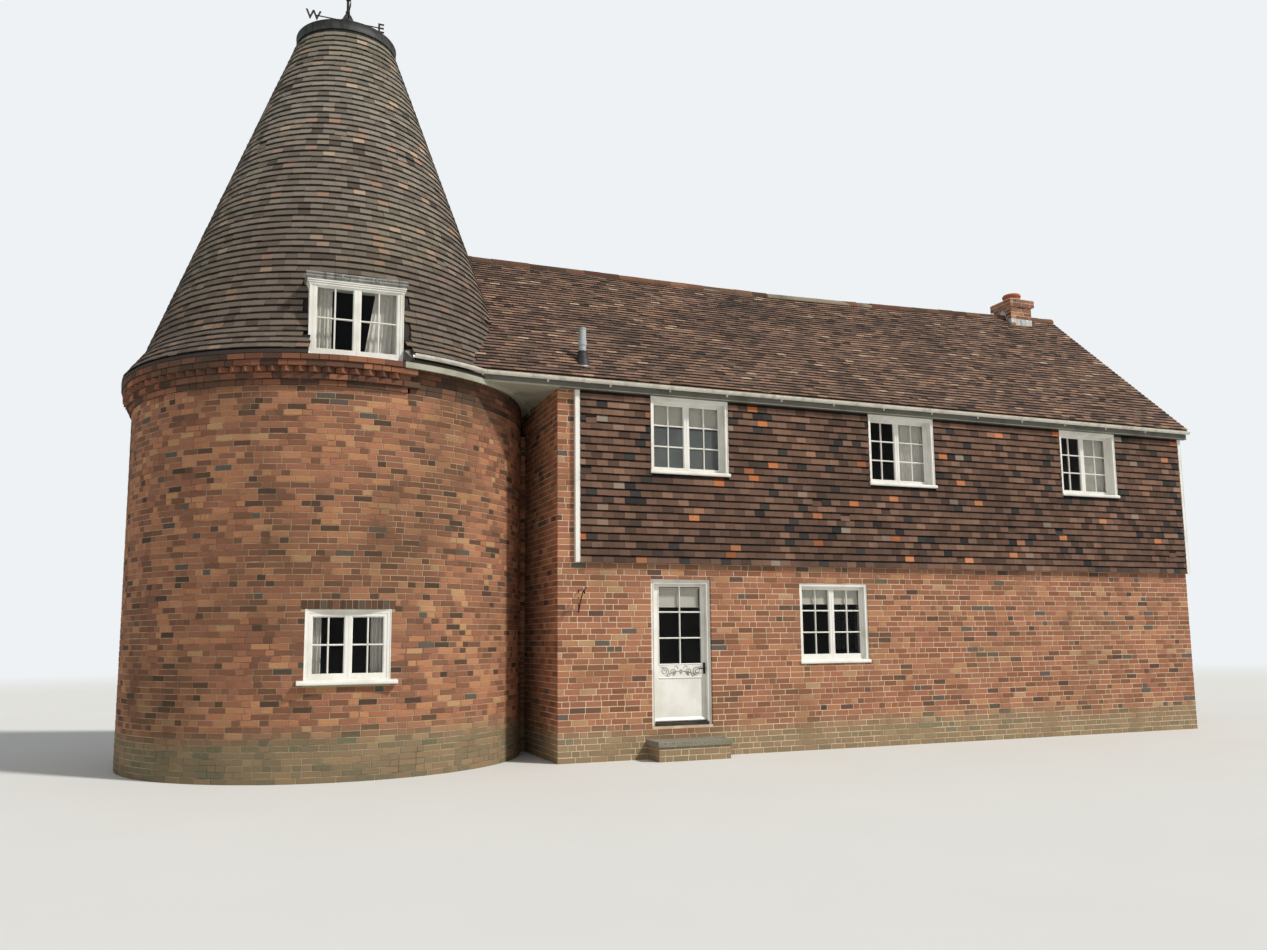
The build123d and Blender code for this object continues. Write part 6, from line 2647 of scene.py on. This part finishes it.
@dataclass
class Ridge:
    """The half-round tiles along the ridge, bedded in mortar."""

    length: float = 0.33
    joint: float = 0.012
    radius: float = 0.115
    depth: float = 0.017
    bed: float = 0.06
    foot_cover: float = 0.03
    lift: float = 0.004
    tilt: float = 0.003

    def build(self, slope: RoofSlope) -> None:
        """Lays the ridge tiles over the slopes' meeting line."""
        rng = np.random.default_rng(SEED + 3)
        turns = [math.pi * (n / 10) for n in range(11)]
        outer, inner = (
            tuple((radius * math.cos(a), radius * math.sin(a)) for a in turns)
            for radius in (self.radius, self.radius - self.depth)
        )
        shape = Moulding(outer + inner[::-1])
        bed = Moulding(tuple((across, 0.95 * up) for across, up in outer))
        chimney = Box.of("chimney_stack")
        verge = Box.of("front_roof").x1
        start = Box.of("ridge_tiles").x0
        way = ((0, 1, 0), (0, 0, 1))

        def spot(x: float, lift: float) -> tuple[float, float, float]:
            """A point on the ridge's bedding line."""
            return x, slope.ridge_y, float(slope.ridge_at(np.array(x))) - self.bed + lift

        parts, beds = [], []
        for first, last in ((start, chimney.x0 + self.foot_cover), (chimney.x1 - self.foot_cover, verge)):
            count = max(1, round((last - first) / self.length))
            pitch = (last - first) / count
            for n in range(count):
                lift = rng.uniform(-self.lift, self.lift)
                edges = (first + n * pitch, first + (n + 1) * pitch - self.joint / 2)
                tile = shape.run(*[spot(x, lift + rng.uniform(-self.tilt, self.tilt)) for x in edges], *way)
                tint(tile, rng.random())
                parts.append(tile)
            spots = [spot(x, -0.004) for x in np.linspace(first, last - self.joint, 5)]
            beds += [bed.run(near, far, *way) for near, far in zip(spots, spots[1:])]
        settle(Bench.join(parts, "ridge_line_tiles"), RIDGE_TILE, stands_for=("ridge_tiles",))
        settle(Bench.join(beds, "ridge_mortar"), RIDGE_MORTAR)


@dataclass
class RoofFurniture:
    """The chimney pot with its mortar, and the vent pipe's collar and rim."""

    def build(self) -> None:
        """Builds the pieces on the roof."""
        pot = Box.of("chimney_pot")
        x, y, z = pot.centre.x, pot.centre.y, pot.z0
        outline = (
            (0.15, 0.0), (0.18, 0.0), (0.18, 0.018), (0.172, 0.03), (0.168, 0.1), (0.172, 0.112),
            (0.183, 0.12), (0.187, 0.137), (0.183, 0.154), (0.172, 0.162), (0.168, 0.175), (0.154, 0.175),
            (0.15, 0.165),
        )
        clay = Bench.turned("chimney_pot_clay", outline, (x, y), 40, base=(0, z))
        tint(clay, 0.4)
        settle(clay, POT_CLAY, stands_for=("chimney_pot",))
        bed = ((0.175, 0.001), (0.262, 0.001), (0.25, 0.018), (0.2, 0.046), (0.178, 0.052))
        settle(Bench.turned("chimney_mortar", bed, (x, y), 40, base=(0, z)), RIDGE_MORTAR)
        vent = Box.of("vent_pipe")
        place = (vent.centre.x, vent.centre.y)
        radius = vent.size.x / 2
        rings = []
        for low, height, out in ((vent.z1 - 0.02, 0.02, 0.006), (vent.z1 - 0.26, 0.075, 0.008)):
            ring = ((-0.004, 0), (out, 0), (out, height), (-0.004, height))
            rings.append(Bench.turned("ring", ring, place, 24, base=(radius, low)))
        settle(Bench.join(rings, "vent_collars"), VENT)
        skirt = min(solids_of("roof_leadwork"), key=lambda solid: solid.z0)
        boot = ((-0.003, -0.05), (0.012, -0.05), (0.014, -0.01), (0.008, 0.012), (-0.003, 0.016))
        settle(Bench.turned("vent_boot", boot, place, 32, base=(radius, skirt.z1)), RUBBER)


@dataclass
class Doorway:
    """The worn stone step, and the wall bracket beside the door."""

    wear: float = 0.007
    rounding: float = 0.011

    def build(self) -> None:
        """Builds both pieces."""
        self.step()
        self.bracket()

    def step(self) -> None:
        """A slab with rounded edges, worn hollow where feet fall."""
        box = Box.of("doorstep")
        slab = Bench.block("worn_step", box, self.rounding, 3)
        with Bench.faces(slab, lambda face: face.normal.z > 0.99 and face.area > 0.1):
            bpy.ops.mesh.subdivide(number_cuts=11)
        middle = box.centre
        for vertex in slab.data.vertices:
            if vertex.co.z > box.z1 - 0.0005:
                across = (vertex.co.x - middle.x) / (box.size.x / 2)
                along = (vertex.co.y - middle.y) / (box.size.y / 2)
                vertex.co.z -= self.wear * max(0.0, 1 - across * across) * max(0.0, 1 - along * along)
        settle(slab, STEP_STONE, stands_for=("doorstep",))

    def bracket(self) -> None:
        """A flat iron bracket with a scroll and a hook."""
        box = Box.of("wall_bracket")
        x, foot, top, reach = box.centre.x, box.z0, box.z1, box.size.y
        half = box.size.x / 2
        tip = 0.012 - reach
        parts = [
            Bench.block("plate", Box(x - half, -0.006, foot, x + half, 0.0, top), 0.0015),
            Bench.block("arm", Box(x - half, tip, top - 0.008, x + half, 0.0, top - 0.002), 0.0015),
        ]
        turns = np.linspace(0, 2.6, 9)
        hook = [(tip - 0.012 * math.sin(a), top - 0.005 + 0.016 * (1 - math.cos(a))) for a in turns]
        rise = box.size.z - 0.05
        brace = [
            (-0.01 - (reach - 0.07) * n / 30, foot + 0.03 + rise * math.sin(n / 30 * math.pi / 2))
            for n in range(31)
        ]
        curl = []
        for share in np.linspace(0, 1, 16):
            radius, turn = 0.03 * (1 - 0.75 * share), 5 * share
            curl.append((0.055 - reach + radius * math.sin(turn), top - 0.045 + radius * math.cos(turn)))
        for name, line, radius in (("hook", hook, 0.007), ("brace", brace, 0.008), ("curl", curl, 0.007)):
            parts.append(Bench.rod(name, [(x, y, z) for y, z in line], radius))
        for z in (foot + 0.03, top - 0.05):
            parts.append(Bench.rod("screw", [(x, -0.006, z), (x, -0.009, z)], 0.0045))
        settle(Bench.join(parts, "scroll_bracket"), BLACK_IRON, stands_for=("wall_bracket",))


# Curtains and blinds


@dataclass
class SoftGoods:
    """The gathered curtains, the roller blinds and the blind in the door."""

    fold: float = 0.046
    fold_depth: float = 0.017
    cloth: float = 0.0008
    wire: float = 0.003
    wire_drop: float = 0.012
    roller: float = 0.0115
    bar: tuple[float, float] = (0.0035, 0.022)
    door_reach: float = 0.028
    flare: float = 0.136
    clearance: float = 0.01

    def build(self) -> None:
        """Hangs every piece of cloth."""
        self.rng = np.random.default_rng(SEED + 4)
        boxes = solids_of("curtains")
        wires = []
        for box in boxes:
            level = box.z1 - self.wire_drop
            ends = [(x, box.centre.y, level) for x in (box.x0 - 0.01, box.x1 + 0.006)]
            wires.append(Bench.rod("wire", ends, self.wire))
        hung = [self.curtain(f"curtain_{number + 1}", box) for number, box in enumerate(boxes)]
        rail = settle(Bench.join(wires, "curtain_wires"), HINGE_STEEL)
        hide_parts("curtains")
        self.blinds()

    def sheet(
        self,
        name: str,
        columns: int,
        rows: int,
        spot: Callable[[float, float], Vector],
        cut: tuple[float, float],
    ) -> bpy.types.Object:
        """A smooth grid bent into shape, with a thickness, and with its flat cut as its UV map.

        Args:
            name: The piece's name.
            columns: The faces across it.
            rows: The faces down it.
            spot: Gives the place of a point, from its shares across and up.
            cut: The cloth's flat width and length.

        Returns:
            The sheet.
        """
        Bench.clear()
        bpy.ops.mesh.primitive_grid_add(x_subdivisions=columns, y_subdivisions=rows, size=1)
        piece = bpy.context.object
        piece.name = piece.data.name = name
        shares = [(v.co.x + 0.5, v.co.y + 0.5) for v in piece.data.vertices]
        uv = piece.data.uv_layers.active
        uv.name = "cut"
        for loop in piece.data.loops:
            across, up = shares[loop.vertex_index]
            uv.data[loop.index].uv = (across * cut[0], up * cut[1])
        for vertex, (across, up) in zip(piece.data.vertices, shares):
            vertex.co = spot(across, up)
        Bench.pick(piece)
        bpy.ops.object.shade_smooth()
        thick = piece.modifiers.new("thickness", "SOLIDIFY")
        thick.thickness = self.cloth
        thick.offset = 0.0
        return piece

    def curtain(self, name: str, box: Box) -> tuple[bpy.types.Object, float, float]:
        """A gathered curtain in the space of its plain solid.

        Args:
            name: The piece's name.
            box: The solid's box.

        Returns:
            The curtain, its flat width and its flat length.
        """
        in_dormer = box.z0 > 5 and box.x1 < 0
        flare = self.flare if in_dormer and box.size.x > 0.4 else 0.0
        folds = max(3, round((box.size.x - flare) / self.fold))
        phases = self.rng.uniform(-0.5, 0.5, folds + 2)
        depth = min(self.fold_depth, box.size.y / 2 - 0.004)

        def spot(across: float, up: float) -> Vector:
            """The place of a point of the curtain."""
            left = box.x0 + flare * min(1.0, up * 1.1)
            wander = np.interp(across * folds, np.arange(folds + 2), phases)
            turn = math.tau * folds * across + wander * (0.6 + 0.8 * (1 - up))
            swell = depth * (0.55 + 0.45 * (1 - up)) * math.sin(turn)
            sway = 0.3 * self.fold / 2 * math.sin(2 * turn) / 2
            x = left + (box.x1 - left) * across + sway
            z = box.z0 + (box.z1 - box.z0 - self.clearance) * up
            return Vector((min(max(x, box.x0), box.x1), box.centre.y + swell, z))

        columns = folds * 12
        ends = [spot(n / columns, 0.5) for n in range(columns + 1)]
        width = sum((b - a).length for a, b in zip(ends, ends[1:]))
        length = box.size.z - self.clearance
        piece = self.sheet(name, columns, 28, spot, (width, length))
        settle(piece, CURTAIN)
        return piece, width, length

    def blinds(self) -> None:
        """The roller blinds with their rollers and bottom bars."""
        for name, node, body in (("upper", "roller_blinds", Body.HOUSE), ("door", "door_blind", Body.DOOR)):
            for number, box in enumerate(solids_of(node)):
                if body is Body.DOOR:
                    box = Box(box.x0, box.y0, box.z0, box.x1 + self.door_reach, box.y1, box.z1)
                roller = min(self.roller, box.size.y / 2 - 0.001)
                y = box.y0 + roller + 0.0005
                top = box.z1 - roller - 0.001
                tube = Bench.rod("roller", [(box.x0, y, top), (box.x1, y, top)], roller, 4)
                half, height = self.bar
                bar = Box(box.x0 + 0.006, y - half, box.z0, box.x1 - 0.006, y + half, box.z0 + height)
                foot = Bench.block("bar", bar, 0.0015)
                hardware = Bench.join([tube, foot], f"{name}_blind_roller_{number + 1}")
                settle(hardware, BLIND, body)
                length = top - box.z0 - 0.004
                width = box.size.x - 0.02

                def spot(across: float, up: float) -> Vector:
                    """The place of a point of the blind."""
                    bow = 0.0016 * math.sin(9 * across) * math.sin(math.pi * up)
                    out = y + roller * 0.5 * up + bow
                    return Vector((box.x0 + 0.01 + width * across, out, box.z0 + 0.004 + length * up))

                cloth = self.sheet(f"{name}_blind_{number + 1}", 24, 10, spot, (width, length))
                settle(cloth, BLIND, body, (node,) if number == 0 else ())


# Stage


@dataclass
class Studio:
    """The floor, lamps, backdrop and camera."""

    floor_reach: float = 90.0
    lens: float = 28.41
    sensor: float = 36.0
    eye: tuple[float, float, float] = (-3.958, -13.166, 1.648)
    heading: float = 21.102
    pitch: float = 7.067
    roll: float = -0.568
    rise: float = 0.03214
    sun_strength: float = 3.15
    sun_spread: float = 5.0
    fill_strength: float = 0.12
    sky_strength: float = 0.46

    def build(self) -> None:
        """Sets the stage."""
        self.floor()
        self.lamps()
        self.backdrop()
        self.camera()

    def floor(self) -> None:
        """A pale floor under the house."""
        Bench.clear()
        place = (*STAGE_FLOOR.centre, 0)
        bpy.ops.mesh.primitive_circle_add(
            vertices=96, radius=self.floor_reach, fill_type="NGON", location=place
        )
        floor = bpy.context.object
        floor.name = "studio_floor"
        bpy.ops.object.transform_apply(location=True, rotation=True, scale=True)
        floor.data.materials.append(STAGE_FLOOR.material())

    def lamps(self) -> None:
        """A soft key light from the front right and a weak one from the left."""
        for name, strength, spread, direction, colour in (
            ("key_light", self.sun_strength, self.sun_spread, (-0.5, 0.5, -0.71), (1.0, 0.97, 0.92)),
            ("fill_light", self.fill_strength, 60.0, (0.75, 0.5, -0.43), (0.92, 0.96, 1.0)),
        ):
            lamp = bpy.data.lights.new(name, "SUN")
            lamp.energy = strength
            lamp.angle = math.radians(spread)
            lamp.color = colour
            holder = bpy.data.objects.new(name, lamp)
            holder.rotation_euler = Vector(direction).to_track_quat("-Z", "Y").to_euler()
            bpy.context.scene.collection.objects.link(holder)

    def backdrop(self) -> None:
        """A pale backdrop for the camera and a soft sky for the light."""
        world = bpy.data.worlds.new("studio_sky")
        sky = Shader(world)
        path = sky.node("ShaderNodeLightPath")
        seen = sky.out(path, "Is Camera Ray").larger(sky.out(path, "Is Transmission Ray"))
        shown = sky.node("ShaderNodeBackground", sockets={"Color": linear(BACKDROP)})
        light = {"Color": (0.93, 0.96, 1.0, 1.0), "Strength": self.sky_strength}
        soft = sky.node("ShaderNodeBackground", sockets=light)
        mixed = sky.node("ShaderNodeMixShader", sockets={0: seen, 1: sky.out(soft), 2: sky.out(shown)})
        sky.node("ShaderNodeOutputWorld", sockets={0: sky.out(mixed)})
        bpy.context.scene.world = world

    def camera(self) -> None:
        """The camera where the photograph was taken from."""
        heading, pitch, roll = (math.radians(a) for a in (self.heading, self.pitch, self.roll))
        level = math.cos(pitch)
        ahead = Vector((math.sin(heading) * level, math.cos(heading) * level, math.sin(pitch)))
        right = ahead.cross(Vector((0, 0, 1))).normalized()
        up = right.cross(ahead)
        tilted = right * math.cos(roll) + up * math.sin(roll)
        upright = tilted.cross(ahead)
        turned = Matrix((tilted, upright, -ahead)).transposed()
        lens = bpy.data.cameras.new("photo_camera")
        lens.lens = self.lens
        lens.sensor_width = self.sensor
        lens.shift_y = self.rise
        lens.clip_end = 500.0
        camera = bpy.data.objects.new("photo_camera", lens)
        camera.location = self.eye
        camera.rotation_euler = turned.to_euler()
        bpy.context.scene.collection.objects.link(camera)
        bpy.context.scene.camera = camera


def main() -> None:
    """Builds the house's finishes in order."""
    bpy.context.scene.view_settings.view_transform = "Standard"
    dress_nodes()
    Brickwork().build()
    coverings = TileCoverings()
    coverings.build()
    Ridge().build(coverings.front)
    Joinery().build()
    FrontDoor().build()
    Dormer().build()
    KilnCap().build()
    Vane().build()
    Eaves().build()
    RoofFurniture().build()
    Doorway().build()
    SoftGoods().build()
    Studio().build()


if __name__ == "__main__":
    main()
